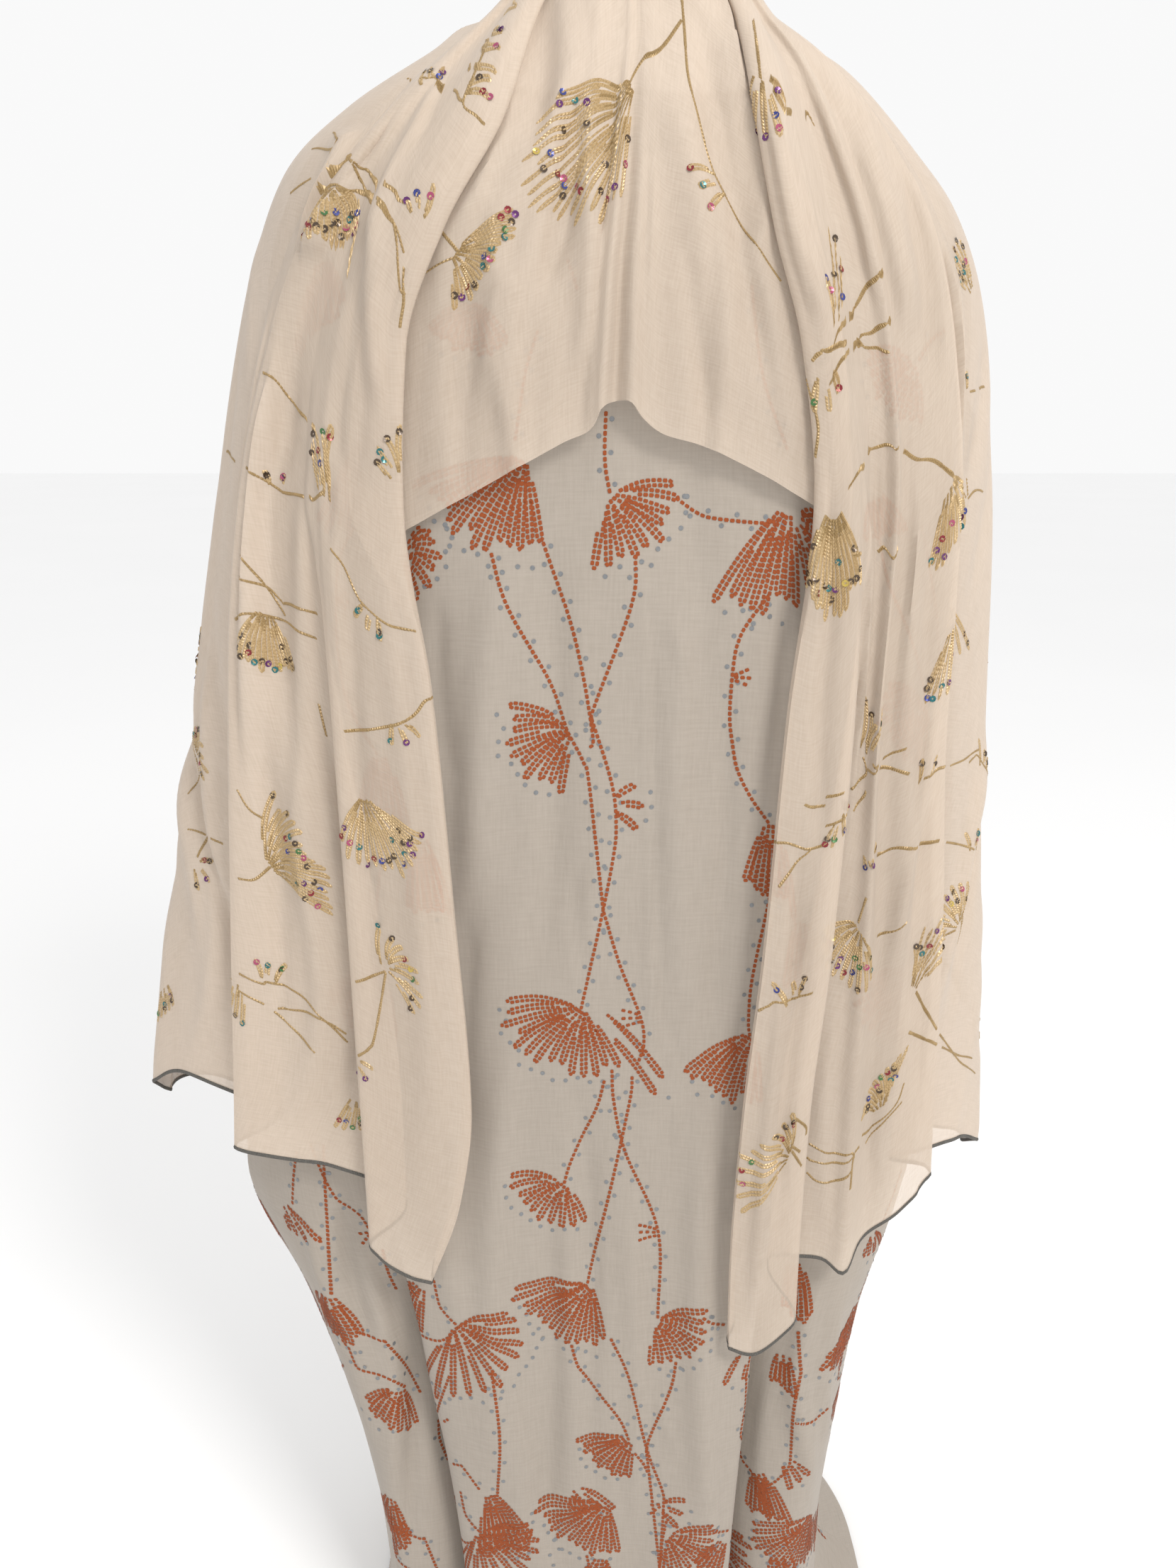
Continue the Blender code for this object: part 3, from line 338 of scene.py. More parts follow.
# Sequins: where along a petal, from and to as shares of its length, and the chance of one there
SEQUIN_SEED = 14
SEQUIN_ROWS = ((0.80, 0.96, 0.80), (0.50, 0.74, 0.36))
SEQUIN_RADIUS = 0.0026
SEQUIN_HOLE = 0.0007
SEQUIN_CUP = 0.0004
SEQUIN_LIFT = CLOTH_THICKNESS / 2.0 + 0.0007
SEQUIN_TILT = 0.16
SEQUIN_COLOURS = {
    "bronze": (0.060, 0.040, 0.026),
    "teal": (0.020, 0.115, 0.120),
    "blue": (0.035, 0.045, 0.180),
    "plum": (0.095, 0.025, 0.110),
    "rose": (0.300, 0.060, 0.120),
    "maroon": (0.180, 0.020, 0.025),
    "green": (0.050, 0.130, 0.045),
    "yellow": (0.420, 0.310, 0.070),
}
SEQUIN_SHARES = (0.34, 0.13, 0.10, 0.15, 0.07, 0.13, 0.05, 0.03)

# Where the pattern carries on: a cloth's flowers between two heights, moved across and up
REPEATS = {
    "dress_front": (
        ("dress_front", 600, 1140, -305, 60), ("dress_front", 600, 1140, 290, 20),
        ("dress_front", 200, 500, 10, -230), ("dress_front", 300, 560, 270, -270),
        ("dress_front", 50, 750, -560, 30), ("dress_front", 50, 750, 560, -20),
    ),
    "dress_back": (
        ("dress_front", 0, 1300, 30, -50), ("dress_front", 550, 1250, -270, -10),
        ("dress_front", 550, 1250, 260, 40), ("dress_front", 700, 1250, -30, 450),
        ("dress_front", 50, 600, -500, 60), ("dress_front", 50, 600, 510, 10),
    ),
    "shawl_left": (
        ("shawl_left", 0, 1100, 310, 20), ("shawl_left", 0, 1100, 590, -30),
    ),
    "shawl_right": (
        ("shawl_right", 0, 1150, 330, 30), ("shawl_left", 0, 1100, 560, 10),
    ),
    "shawl_back": (
        ("shawl_left", 0, 1100, -360, 20), ("shawl_left", 0, 1100, -80, -60),
        ("shawl_left", 0, 1100, 200, 50),
    ),
}

# The creases repeated on each cloth's hidden parts, moved across and up
CREASE_MOVES = {
    "dress_front": (),
    "dress_back": (("dress_front", 12, 30), ("dress_front", -150, -90)),
    "shawl_left": (("shawl_left", 390, -20),),
    "shawl_right": (("shawl_right", 360, 20),),
    "shawl_chest": (),
    "shawl_back": (("shawl_left", -380, 10), ("shawl_right", -20, -30)),
}

# Edges of each cloth that join another, where its creases fade
JOIN_FADE = 0.025
JOINS = {
    "dress_front": ("top", "first", "last"),
    "dress_back": ("top", "first", "last"),
    "shawl_left": ("top", "last"),
    "shawl_right": ("top", "last"),
    "shawl_chest": ("top",),
    "shawl_back": ("top", "first", "last"),
}

# Overlocked edges, the loose thread and the seam stitches
OVERLOCKED = ("shawl_left", "shawl_right")
OVERLOCK_WIDTH = 0.0030
OVERLOCK_THICKNESS = 0.0018
OVERLOCK_OVERHANG = 0.0007
OVERLOCK_PITCH = 0.0022
OVERLOCK_STITCH = (0.0034, 0.0011)
OVERLOCK_LEAN = 0.35
OVERLOCK_START = 0.001
# The band's section: past the cloth's edge, in widths inwards or overhangs outwards, and out from it
BAND_SECTION = ((-1.0, 0.8), (-0.4, 1.0), (0.4, 0.8), (1.0, 0.0), (0.4, -0.8), (-0.4, -1.0), (-1.0, -0.8))
THREAD_RUN = (
    (0.0, 0.0, 0.002), (0.006, -0.002, -0.014), (0.012, -0.003, -0.030), (0.024, -0.002, -0.046),
)
THREAD_STEPS = 6
THREAD_RADIUS = 0.0007
TUBE_SIDES = 6
# Any direction that the loose thread never takes
TUBE_SIDEWAYS = (0.3, 1.0, 0.1)
HEM_STITCH_PITCH = 0.0034
HEM_STITCH = (0.0026, 0.0007)
HEM_STITCH_CROWN = 0.0003
HEM_DEPTH = 0.012
HEM_STITCH_START = 0.002
BAND_STITCH_START = 0.004
BAND_STITCH_END = 0.99
# Height of the stitches on a binding, as a share of its width
BAND_STITCH_AT = 0.3

# The rows of flowers, stems and creases were worked out before this script was written, from places
# picked in the photo. The stems follow the photo's own stems.

# Each flower: its place across the cloth and above its hem, the headings of its first and
# last petal in degrees, their lengths, and how many petals
FLOWERS = {
    "dress_front": (
        (1, 1144, 8, -100, 48, 46, 10), (129, 1138, -124, -86, 88, 62, 8),
        (-67, 1172, -167, -78, 75, 63, 14), (-30, 972, 158, 260, 46, 47, 10),
        (-18, 739, 175, 299, 62, 59, 14), (-1, 731, -51, -53, 86, 86, 2),
        (-33, 577, 171, 292, 41, 40, 10), (129, 901, -105, -77, 53, 75, 8),
        (-151, 1115, 33, -73, 14, 41, 7), (121, 717, -142, -84, 59, 62, 10),
        (-12, 475, -177, -81, 65, 55, 13), (48, 443, 21, -95, 44, 38, 10),
        (-129, 440, 14, -117, 50, 87, 12), (20, 320, -172, -96, 43, 40, 10),
        (-107, 259, -60, -94, 70, 78, 10), (-299, 533, -38, -79, 39, 20, 4),
        (-277, 455, -78, -122, 46, 64, 8), (-161, 475, -146, -100, 26, 48, 7),
        (-249, 355, -150, -78, 29, 54, 9), (-265, 199, -60, -84, 25, 49, 5),
        (128, 413, -118, -105, 37, 30, 2), (190, 498, -77, -67, 51, 65, 6),
        (270, 418, -128, -85, 32, 49, 5), (209, 401, -87, -73, 30, 44, 5),
        (199, 264, -96, -83, 46, 51, 5), (226, 283, -74, -52, 33, 23, 3), (7, 914, 33, -40, 21, 26, 3),
        (52, 248, 15, -47, 20, 23, 3), (-114, 1278, -145, -47, 30, 38, 11),
        (-233, 1314, -104, -63, 62, 32, 9), (235, 1246, 169, 271, 38, 38, 10),
        (100, 1365, 117, 95, 41, 46, 6), (199, 1155, -93, -51, 27, 40, 7),
        (159, 825, -95, -75, 64, 69, 7),
    ),
    "shawl_chest": (
        (-123, 179, 8, -89, 40, 42, 14), (0, 208, 139, 265, 80, 69, 18), (68, 186, -145, -112, 21, 25, 3),
    ),
    "shawl_left": (
        (47, 966, 119, 119, 41, 41, 1), (48, 957, 130, 130, 20, 20, 1), (54, 940, 134, 134, 27, 27, 1),
        (56, 929, 146, 146, 23, 23, 1), (55, 918, 133, 133, 28, 28, 1), (56, 913, 147, 147, 23, 23, 1),
        (99, 855, 43, 93, 18, 11, 3), (129, 763, -73, -163, 39, 30, 14), (51, 838, 28, 83, 8, 18, 3),
        (111, 622, 54, 95, 21, 52, 5), (177, 554, 70, 100, 10, 11, 2), (49, 674, 30, 91, 12, 35, 4),
        (70, 563, -55, -89, 17, 18, 3), (204, 458, -55, -108, 50, 39, 12),
        (59, 485, -81, -140, 17, 14, 3), (95, 409, -65, -166, 59, 46, 14),
        (264, 259, 116, 205, 63, 47, 15), (92, 276, 95, 95, 37, 37, 1), (91, 278, 110, 234, 24, 31, 8),
        (130, 174, -87, -183, 16, 14, 3), (215, 70, -80, -115, 30, 27, 5), (292, 161, 83, 126, 17, 22, 3),
        (320, 154, -69, -87, 25, 38, 4),
    ),
    "shawl_right": (
        (27, 994, -108, -77, 54, 36, 5), (50, 806, 93, -22, 33, 19, 4), (35, 795, -101, -77, 25, 18, 3),
        (220, 704, 112, 182, 41, 29, 6), (221, 627, 106, 93, 13, 13, 1), (39, 703, -105, -75, 59, 86, 13),
        (181, 588, -90, -49, 40, 86, 10), (224, 472, -116, -28, 31, 80, 10),
        (135, 448, 100, 75, 42, 36, 4), (71, 458, -123, -53, 14, 27, 4), (226, 375, 97, 44, 17, 11, 2),
        (163, 375, -59, -45, 10, 11, 3), (393, 274, 128, 63, 18, 25, 3),
        (173, 310, -144, -62, 38, 60, 11), (271, 204, 101, -5, 39, 47, 8), (48, 327, 126, 76, 25, 15, 3),
        (260, 118, 150, 73, 27, 40, 10), (65, 178, 97, 224, 36, 56, 10),
    ),
}

# Each stem: the places that it runs through
STEMS = {
    "dress_front": (
        (-4, 1204, -4, 1170, 0, 1147), (47, 1145, 65, 1134, 80, 1131, 113, 1130, 122, 1133, 129, 1138),
        (-87, 1108, -74, 1067, -44, 1011, -30, 972), (-49, 1115, -25, 1045, -11, 971, -13, 959),
        (19, 1105, 17, 1069, -9, 994, -12, 983, -10, 973), (-30, 972, -18, 949, -13, 930, -1, 826),
        (-12, 983, 4, 932, 8, 898, 6, 870, -3, 817, -18, 739),
        (118, 1079, 103, 1057, 97, 1044, 94, 1027, 93, 988, 96, 965, 101, 943, 112, 922, 127, 902),
        (94, 1017, 106, 1023), (94, 1016, 108, 1016), (94, 1014, 106, 1010),
        (-1, 826, 13, 779, 31, 732, 34, 709, 30, 692), (30, 735, 14, 739), (31, 732, 14, 731),
        (32, 729, 14, 723), (2, 675, -5, 647, -25, 601, -32, 577),
        (8, 685, 10, 654, 20, 607, 49, 531, 48, 447), (25, 679, 23, 654, 6, 563, -13, 477),
        (48, 534, 31, 539), (48, 531, 31, 532), (48, 528, 31, 524),
        (130, 836, 120, 769, 119, 732, 121, 717), (86, 457, 95, 449, 107, 445),
        (-29, 420, -25, 401, -19, 389, 11, 345, 21, 320),
        (6, 427, 22, 385, 39, 307, 52, 266, 53, 246, 50, 177),
        (64, 407, 59, 378, 43, 332, 38, 313, 39, 294, 50, 177), (26, 308, 34, 297, 39, 285),
        (-138, 388, -156, 339), (-214, 308, -214, 286, -207, 259),
        (-143, 285, -136, 287, -131, 286, -116, 264), (-149, 332, -142, 339),
        (-100, 399, -96, 329, -100, 261), (-146, 486, -143, 463, -139, 455, -128, 443),
        (-165, 422, -147, 422, -136, 428), (-271, 593, -285, 539),
        (-256, 603, -241, 559, -235, 549, -222, 539, -218, 525), (-243, 605, -250, 541, -272, 457),
        (-214, 503, -218, 477, -218, 456), (-219, 521, -230, 518), (-219, 519, -230, 507),
        (-264, 413, -247, 408, -244, 405, -227, 339),
        (-280, 399, -279, 381, -276, 376, -252, 368, -241, 353),
        (214, 431, 224, 399, 228, 377, 228, 293, 226, 277, 222, 270, 213, 259, 202, 253),
        (230, 332, 234, 333, 246, 330, 252, 332, 261, 340), (129, 390, 130, 355, 126, 325, 129, 315),
        (178, 281, 183, 270, 198, 262), (-59, 1260, -68, 1230, -73, 1185), (-39, 1308, -29, 1285),
        (102, 1291, 113, 1234, 132, 1182), (267, 1277, 251, 1265, 239, 1249),
    ),
    "shawl_chest": (
        (-137, 210, -123, 180), (-154, 166, -147, 176, -124, 176), (33, 284, 8, 228, -6, 204),
        (33, 299, 38, 251, 48, 223, 59, 198, 73, 182, 121, 148),
    ),
    "shawl_left": (
        (183, 757, 151, 754, 138, 763, 130, 780, 122, 785, 107, 781, 96, 792), (82, 823, 61, 838),
        (166, 770, 142, 761, 132, 779, 124, 785, 110, 772, 101, 778, 95, 789),
        (79, 814, 65, 821, 51, 813), (185, 719, 164, 732), (142, 750, 130, 765, 113, 765, 98, 783),
        (81, 815, 69, 821, 64, 820, 57, 812, 48, 797, 42, 793), (48, 807, 42, 789, 42, 771),
        (135, 828, 128, 828), (109, 857, 105, 860, 96, 859, 90, 865, 83, 882), (72, 904, 58, 913),
        (66, 936, 65, 925, 63, 928), (58, 950, 53, 955, 53, 952, 57, 929, 57, 911, 38, 915),
        (185, 629, 175, 627, 160, 615, 142, 624), (128, 643, 121, 653), (279, 540, 268, 528, 250, 524),
        (200, 561, 177, 553, 168, 552, 152, 563, 142, 572), (128, 599, 111, 624),
        (231, 449, 215, 457, 183, 457, 157, 462), (219, 481, 199, 479, 188, 471, 183, 471, 151, 483),
        (212, 499, 187, 461), (101, 590, 91, 584, 81, 569, 74, 564, 56, 559, 37, 561),
        (107, 454, 53, 490, 37, 509, 26, 515), (172, 408, 175, 383), (271, 317, 266, 304, 257, 297),
        (295, 244, 281, 246, 265, 258), (442, 229, 426, 220), (400, 223, 389, 221),
        (316, 163, 298, 158, 292, 160, 270, 156, 249, 143, 228, 122), (319, 148, 298, 140),
        (287, 138, 252, 141, 229, 130), (290, 135, 253, 108), (123, 248, 94, 273),
        (94, 272, 110, 210, 116, 196, 128, 181),
    ),
    "shawl_right": (
        (21, 790, 27, 763, 24, 738), (26, 1048, 26, 995), (41, 956, 47, 944), (67, 893, 74, 885),
        (44, 805, 51, 801, 61, 788), (68, 772, 75, 759, 80, 761, 95, 793, 98, 794, 102, 786),
        (27, 805, 33, 814, 38, 813, 58, 781), (79, 737, 89, 745, 97, 760, 101, 763, 105, 755),
        (74, 746, 80, 733, 86, 732, 101, 745), (73, 747, 68, 756), (60, 773, 45, 790, 37, 793),
        (84, 672, 92, 662, 107, 677, 113, 679), (129, 651, 142, 636, 162, 621, 192, 579),
        (227, 552, 233, 549), (236, 549, 248, 558, 266, 564), (221, 626, 231, 630), (253, 644, 263, 655),
        (71, 691, 62, 703, 50, 711), (231, 564, 235, 551), (56, 657, 66, 643),
        (105, 594, 111, 603, 124, 603), (135, 443, 141, 433, 131, 414), (72, 476, 56, 487),
        (37, 494, 56, 480), (141, 438, 151, 445, 145, 449), (174, 423, 194, 419), (172, 419, 203, 397),
        (145, 421, 144, 414, 138, 398), (79, 451, 58, 463), (14, 454, 22, 460, 34, 461, 59, 448),
        (46, 455, 36, 448, 24, 425), (225, 378, 253, 364), (316, 344, 342, 352, 366, 370),
        (188, 352, 197, 346, 212, 342, 232, 330), (239, 326, 267, 307), (348, 280, 393, 275),
        (171, 342, 171, 315), (211, 280, 225, 275, 237, 277), (275, 198, 317, 140),
        (420, 109, 459, 80, 481, 71, 505, 68), (274, 170, 321, 125), (428, 96, 461, 83, 488, 81),
        (20, 319, 27, 326, 36, 332, 65, 324), (280, 126, 275, 112, 255, 103, 250, 102, 238, 110),
        (282, 109, 268, 104, 253, 94, 248, 94), (232, 107, 224, 112, 220, 110, 222, 81),
        (67, 212, 81, 193, 83, 184), (177, 110, 197, 106, 215, 116, 221, 111), (68, 186, 78, 173),
        (177, 97, 183, 95, 201, 98, 217, 110, 222, 109), (68, 182, 82, 157),
        (179, 83, 189, 77, 204, 81, 220, 99),
    ),
}

# Each crease: from one place to another, its width, its height or depth, and how far it bows
CREASES = {
    "dress_front": (
        (25, 1108, 45, 658, 2.4, 0.9, 1), (29, 1108, 50, 658, 4, -0.9, 1),
        (-79, 1110, -100, 834, 16, 3, 6), (-45, 1115, -50, 766, 14, -2.5, -8),
        (59, 1109, 65, 731, 12, 2.2, 7), (87, 1036, 88, 696, 10, -2.2, -6),
        (-107, 834, -117, 599, 12, -4, 5), (-76, 731, -98, 219, 16, 4, 9),
        (-45, 585, -62, 178, 12, -3, -6), (86, 659, 97, 187, 13, 4, 7), (110, 732, 188, 195, 10, -3, -5),
        (52, 731, 76, 681, 3, -1, 2), (62, 659, 68, 600, 3, 1, 2), (48, 369, 64, 313, 3.5, 1, 2),
        (45, 1063, 61, 1017, 4, 1, 2), (-23, 863, -14, 765, 7, -1.2, 3), (-5, 658, -7, 193, 12, -2.6, 8),
        (22, 584, 24, 178, 11, 2.6, -6), (-266, 527, -279, 413, 9, 3, 3), (-227, 498, -263, 236, 9, 3, 4),
        (-231, 555, -262, 399, 8, -3, 3), (-224, 408, -249, 162, 8, -3, 3), (210, 491, 255, 239, 9, 3, 4),
        (245, 460, 275, 274, 7, 2, 3), (-126, 1077, -123, 932, 8, -2, 3),
        (129, 1079, 131, 935, 8, -2, -3),
    ),
    "shawl_chest": (
        (-17, 163, -3, 9, 6, -4.5, 2), (-31, 202, -34, 28, 11, 3, -4), (8, 159, 30, 14, 12, 3, 4),
        (-49, 272, -106, 52, 18, 3, 8), (-65, 222, -141, 48, 13, -2.5, -6), (25, 236, 98, 34, 18, 3, -8),
        (50, 279, 133, 53, 12, -2.5, 6), (54, 137, 87, 13, 8, -2, 3), (-81, 148, -87, 21, 9, 2, 3),
        (96, 168, 151, 15, 9, 2, -4),
    ),
    "shawl_left": (
        (148, 776, 137, 712, 16, 4, 5), (123, 829, 112, 728, 12, -2.5, 4), (88, 865, 76, 787, 10, 3, -3),
        (76, 787, 91, 644, 12, -3, 4), (76, 824, 62, 712, 9, 3, 3), (42, 817, 49, 655, 6, -2.5, 3),
        (182, 654, 257, 324, 14, 4, 8), (154, 659, 209, 391, 12, -3.5, -6),
        (127, 623, 255, 201, 10, 3, 7), (229, 388, 312, 73, 10, -3, 5), (209, 363, 262, 38, 12, 4, -6),
        (170, 408, 233, 35, 10, -4, 5), (83, 602, 107, 226, 9, -2.5, -6), (59, 605, 71, 97, 14, 3, 8),
        (39, 505, 31, 48, 10, -2.5, 6), (334, 396, 473, 15, 12, 3, -6), (96, 671, 115, 467, 6, 2.5, 4),
    ),
    "shawl_right": (
        (33, 984, 44, 815, 9, 3, 4), (78, 929, 89, 759, 12, -3, -5), (112, 866, 130, 721, 14, 4, 5),
        (141, 803, 157, 665, 12, -3, 4), (180, 732, 188, 573, 12, 3, -5), (35, 736, 59, 434, 8, -3, 6),
        (52, 708, 166, 293, 9, 3, -7), (96, 671, 193, 320, 9, -3.5, 6), (128, 641, 257, 190, 12, 4, -8),
        (157, 609, 317, 85, 11, -3.5, 8), (44, 446, 70, 99, 9, -2.5, 6), (24, 380, 39, 31, 12, 3, -5),
        (163, 292, 214, 11, 10, 3, 5), (189, 301, 270, 9, 9, -3, -5), (27, 508, 56, 307, 6, -2, 4),
    ),
}

# Grids of the bindings and of the shawl's cap, which closes towards its top
BINDING_COLUMNS = 160
BINDING_ROWS = 5
CUFF_STEPS = 25
CAP_TOP_LEVEL = 0.0
CROWN_SHARE = 0.03
# Rings between which the chest stretch widens under the side stretches
CHEST_TUCK_RINGS = (SLOPE_RING - 0.6, SHOULDER_RING + 0.6)

# Woven cloth: how long the yarns' unevenness is, its detail and contrast, and its relief
YARN_STRETCH = 0.08
YARN_DETAIL = 2.0
YARN_CONTRAST = (0.7, 1.3)
YARN_RELIEF = 0.5
SHEEN_ROUGHNESS = 0.5
THREAD_DETAIL = 3.0

# Thin cloth lets more through within the first distance from the middle plane than beyond the
# second, and less again towards the neck
THIN_WITHIN = 0.17
THICK_BEYOND = 0.32
THICK_ABOVE = 0.02
THICK_FADE = 0.24

# Cloth finishes: two colours, weave in threads a metre, relief, roughness, sheen, and for thin
# cloth how solid it is over the body and beside it
SHAWL_COLOURS = ((0.680, 0.566, 0.461), (0.612, 0.502, 0.401))
CLOTH_FINISHES = {
    "shawl_outside": (*SHAWL_COLOURS, 700.0, 0.0004, 0.80, 0.15, (0.58, 0.76)),
    "shawl_inside": (*SHAWL_COLOURS, 700.0, 0.0004, 0.85, 0.10, (0.08, 0.45)),
    "dress_outside": ((0.368, 0.320, 0.272), (0.334, 0.290, 0.244), 500.0, 0.0003, 0.85, 0.10),
    "binding_cloth": ((0.45, 0.40, 0.34), (0.38, 0.34, 0.29), 500.0, 0.0003, 0.88, 0.10),
}
# Print, thread and metal: a dark and a light colour, the grain, roughness, and how metallic it is
SMALL_FINISHES = {
    "printed_dashes": ((0.17, 0.028, 0.005), (0.36, 0.080, 0.012), 700.0, 0.85),
    "silver_dots": ((0.13, 0.136, 0.142), (0.27, 0.276, 0.283), 700.0, 0.35, 0.3),
    "pale_gold_thread": ((0.26, 0.16, 0.06), (0.64, 0.48, 0.27), 900.0, 0.38, 0.25),
    "dark_gold_thread": ((0.17, 0.10, 0.035), (0.48, 0.34, 0.16), 900.0, 0.38, 0.25),
    "overlock_thread": ((0.045, 0.042, 0.036), (0.150, 0.140, 0.125), 900.0, 0.8),
    "seam_thread": ((0.36, 0.33, 0.28), (0.50, 0.46, 0.40), 900.0, 0.8),
    "studio_floor": ((0.94, 0.94, 0.94), (0.97, 0.97, 0.97), 0.6, 0.9),
}
SEQUIN_FINISH = (500.0, 0.22, 0.35)
SEQUIN_LIGHTER = 1.4

# Each cloth's slot, its finishes outside and inside, its thickness and how it is held
WORN = {
    "dress": ("dress_cloth", ("dress_outside", "dress_outside"), CLOTH_THICKNESS, "hung"),
    "neck": ("binding_cloth", ("binding_cloth", "binding_cloth"), BAND_THICKNESS, "hung"),
    "cuff": ("binding_cloth", ("binding_cloth", "binding_cloth"), BAND_THICKNESS, "hung"),
    "shawl": ("shawl_cloth", ("shawl_outside", "shawl_inside"), CLOTH_THICKNESS, "draped"),
}
# A sheet's flat area is at least this share of its width times its length
LEAST_AREA_SHARE = 0.31

# The room, the light and the camera
FLOOR_GAP = 0.004
FLOOR_REACH = 30.0
WORLD_STRENGTH = 0.95
KEY_POWER = 66.0
KEY_PLACE = (1.4, -2.2, 1.6)
KEY_AIM = (0.0, 0.0, -0.5)
KEY_SIZE = 0.9
KEY_COLOUR = (1.0, 0.98, 0.95)
CAMERA_LENS = 27.03
CAMERA_PLACE = (-0.033, -1.0, -0.245)
CAMERA_DOWN = 17.0

# Shorter than any length that counts
TINY = 1e-12


# Directions, grids and curves through short tables

def unit(vectors):
    """Each vector at length one."""
    return vectors / np.maximum(np.linalg.norm(vectors, axis=-1, keepdims=True), TINY)


def run_along(points):
    """The distance covered at each point of a line of points."""
    return np.concatenate([[0.0], np.cumsum(np.linalg.norm(np.diff(points, axis=0), axis=1))])


def grid_quads(index):
    """A face for each cell of a grid of point numbers."""
    return np.stack([index[:-1, :-1], index[:-1, 1:], index[1:, 1:], index[1:, :-1]], axis=-1).reshape(-1, 4)


def closed_quads(index):
    """A face for each cell between the rings of a tube."""
    after = np.roll(index, -1, axis=1)
    return np.stack([index[:-1], index[1:], after[1:], after[:-1]], axis=-1).reshape(-1, 4)


def circles(across, upward, count):
    """Points of unit circles, one circle for each pair of directions."""
    turn = np.linspace(0.0, 2.0 * math.pi, count, endpoint=False)[None, :, None]
    return np.cos(turn) * across[:, None] + np.sin(turn) * upward[:, None]


def blurred(field):
    """Each value as the mean of its four neighbours."""
    padded = np.pad(field, 1, mode="edge")
    return (padded[:-2, 1:-1] + padded[2:, 1:-1] + padded[1:-1, :-2] + padded[1:-1, 2:]) / 4.0


def smoothstep(start, end, value):
    share = np.clip((value - start) / (end - start), 0.0, 1.0)
    return share * share * (3.0 - 2.0 * share)


def through(knots, values, at):
    """A smooth curve through values at rising knots, with no overshoot between them."""
    knots = np.asarray(knots, float)
    values = np.asarray(values, float)
    at = np.clip(np.asarray(at, float), knots[0], knots[-1])
    steps = np.diff(knots)
    rises = np.diff(values) / steps
    slopes = np.zeros(len(values))
    slopes[0] = rises[0]
    slopes[-1] = rises[-1]
    same_way = rises[:-1] * rises[1:] > 0.0
    inner = np.zeros(len(rises) - 1)
    inner[same_way] = (2.0 * rises[:-1] * rises[1:])[same_way] / (rises[:-1] + rises[1:])[same_way]
    slopes[1:-1] = inner
    index = np.clip(np.searchsorted(knots, at, side="right") - 1, 0, len(steps) - 1)
    step = steps[index]
    share = (at - knots[index]) / step
    square = share * share
    cube = square * share
    return (
        (2.0 * cube - 3.0 * square + 1.0) * values[index]
        + (cube - 2.0 * square + share) * step * slopes[index]
        + (3.0 * square - 2.0 * cube) * values[index + 1]
        + (cube - square) * step * slopes[index + 1]
    )


def along(values, at):
    """A rounded curve through values at 0, 1, 2 and so on."""
    values = np.asarray(values, float)
    padded = np.concatenate(([2.0 * values[0] - values[1]], values, [2.0 * values[-1] - values[-2]]))
    index = np.clip(np.floor(at).astype(int), 0, len(values) - 2)
    share = np.asarray(at, float) - index
    before, start, end, after = (padded[index + step] for step in range(4))
    return 0.5 * (
        2.0 * start
        + (end - before) * share
        + (2.0 * before - 5.0 * start + 4.0 * end - after) * share ** 2
        + (3.0 * start - before - 3.0 * end + after) * share ** 3
    )


def values_at(stations, at):
    """The numbers of the stations' fields at a place counted in stations."""
    return {field: float(along([getattr(s, field) for s in stations], at)) for field in stations[0]._fields}


def in_metres(kind, rows):
    """Rows as named numbers: two shares or counts, then lengths turned into metres."""
    return [kind(*row[:2], *(part / MILLIMETRES for part in row[2:])) for row in rows]


def smooth_line(points, steps):
    """A rounded line through points."""
    points = np.asarray(points, float)
    at = np.linspace(0.0, len(points) - 1.0, (len(points) - 1) * steps + 1)
    return np.stack([along(part, at) for part in points.T], axis=-1)


# Rings round the figure. An angle is 0 at the front and grows towards +X, and a level counts rings.

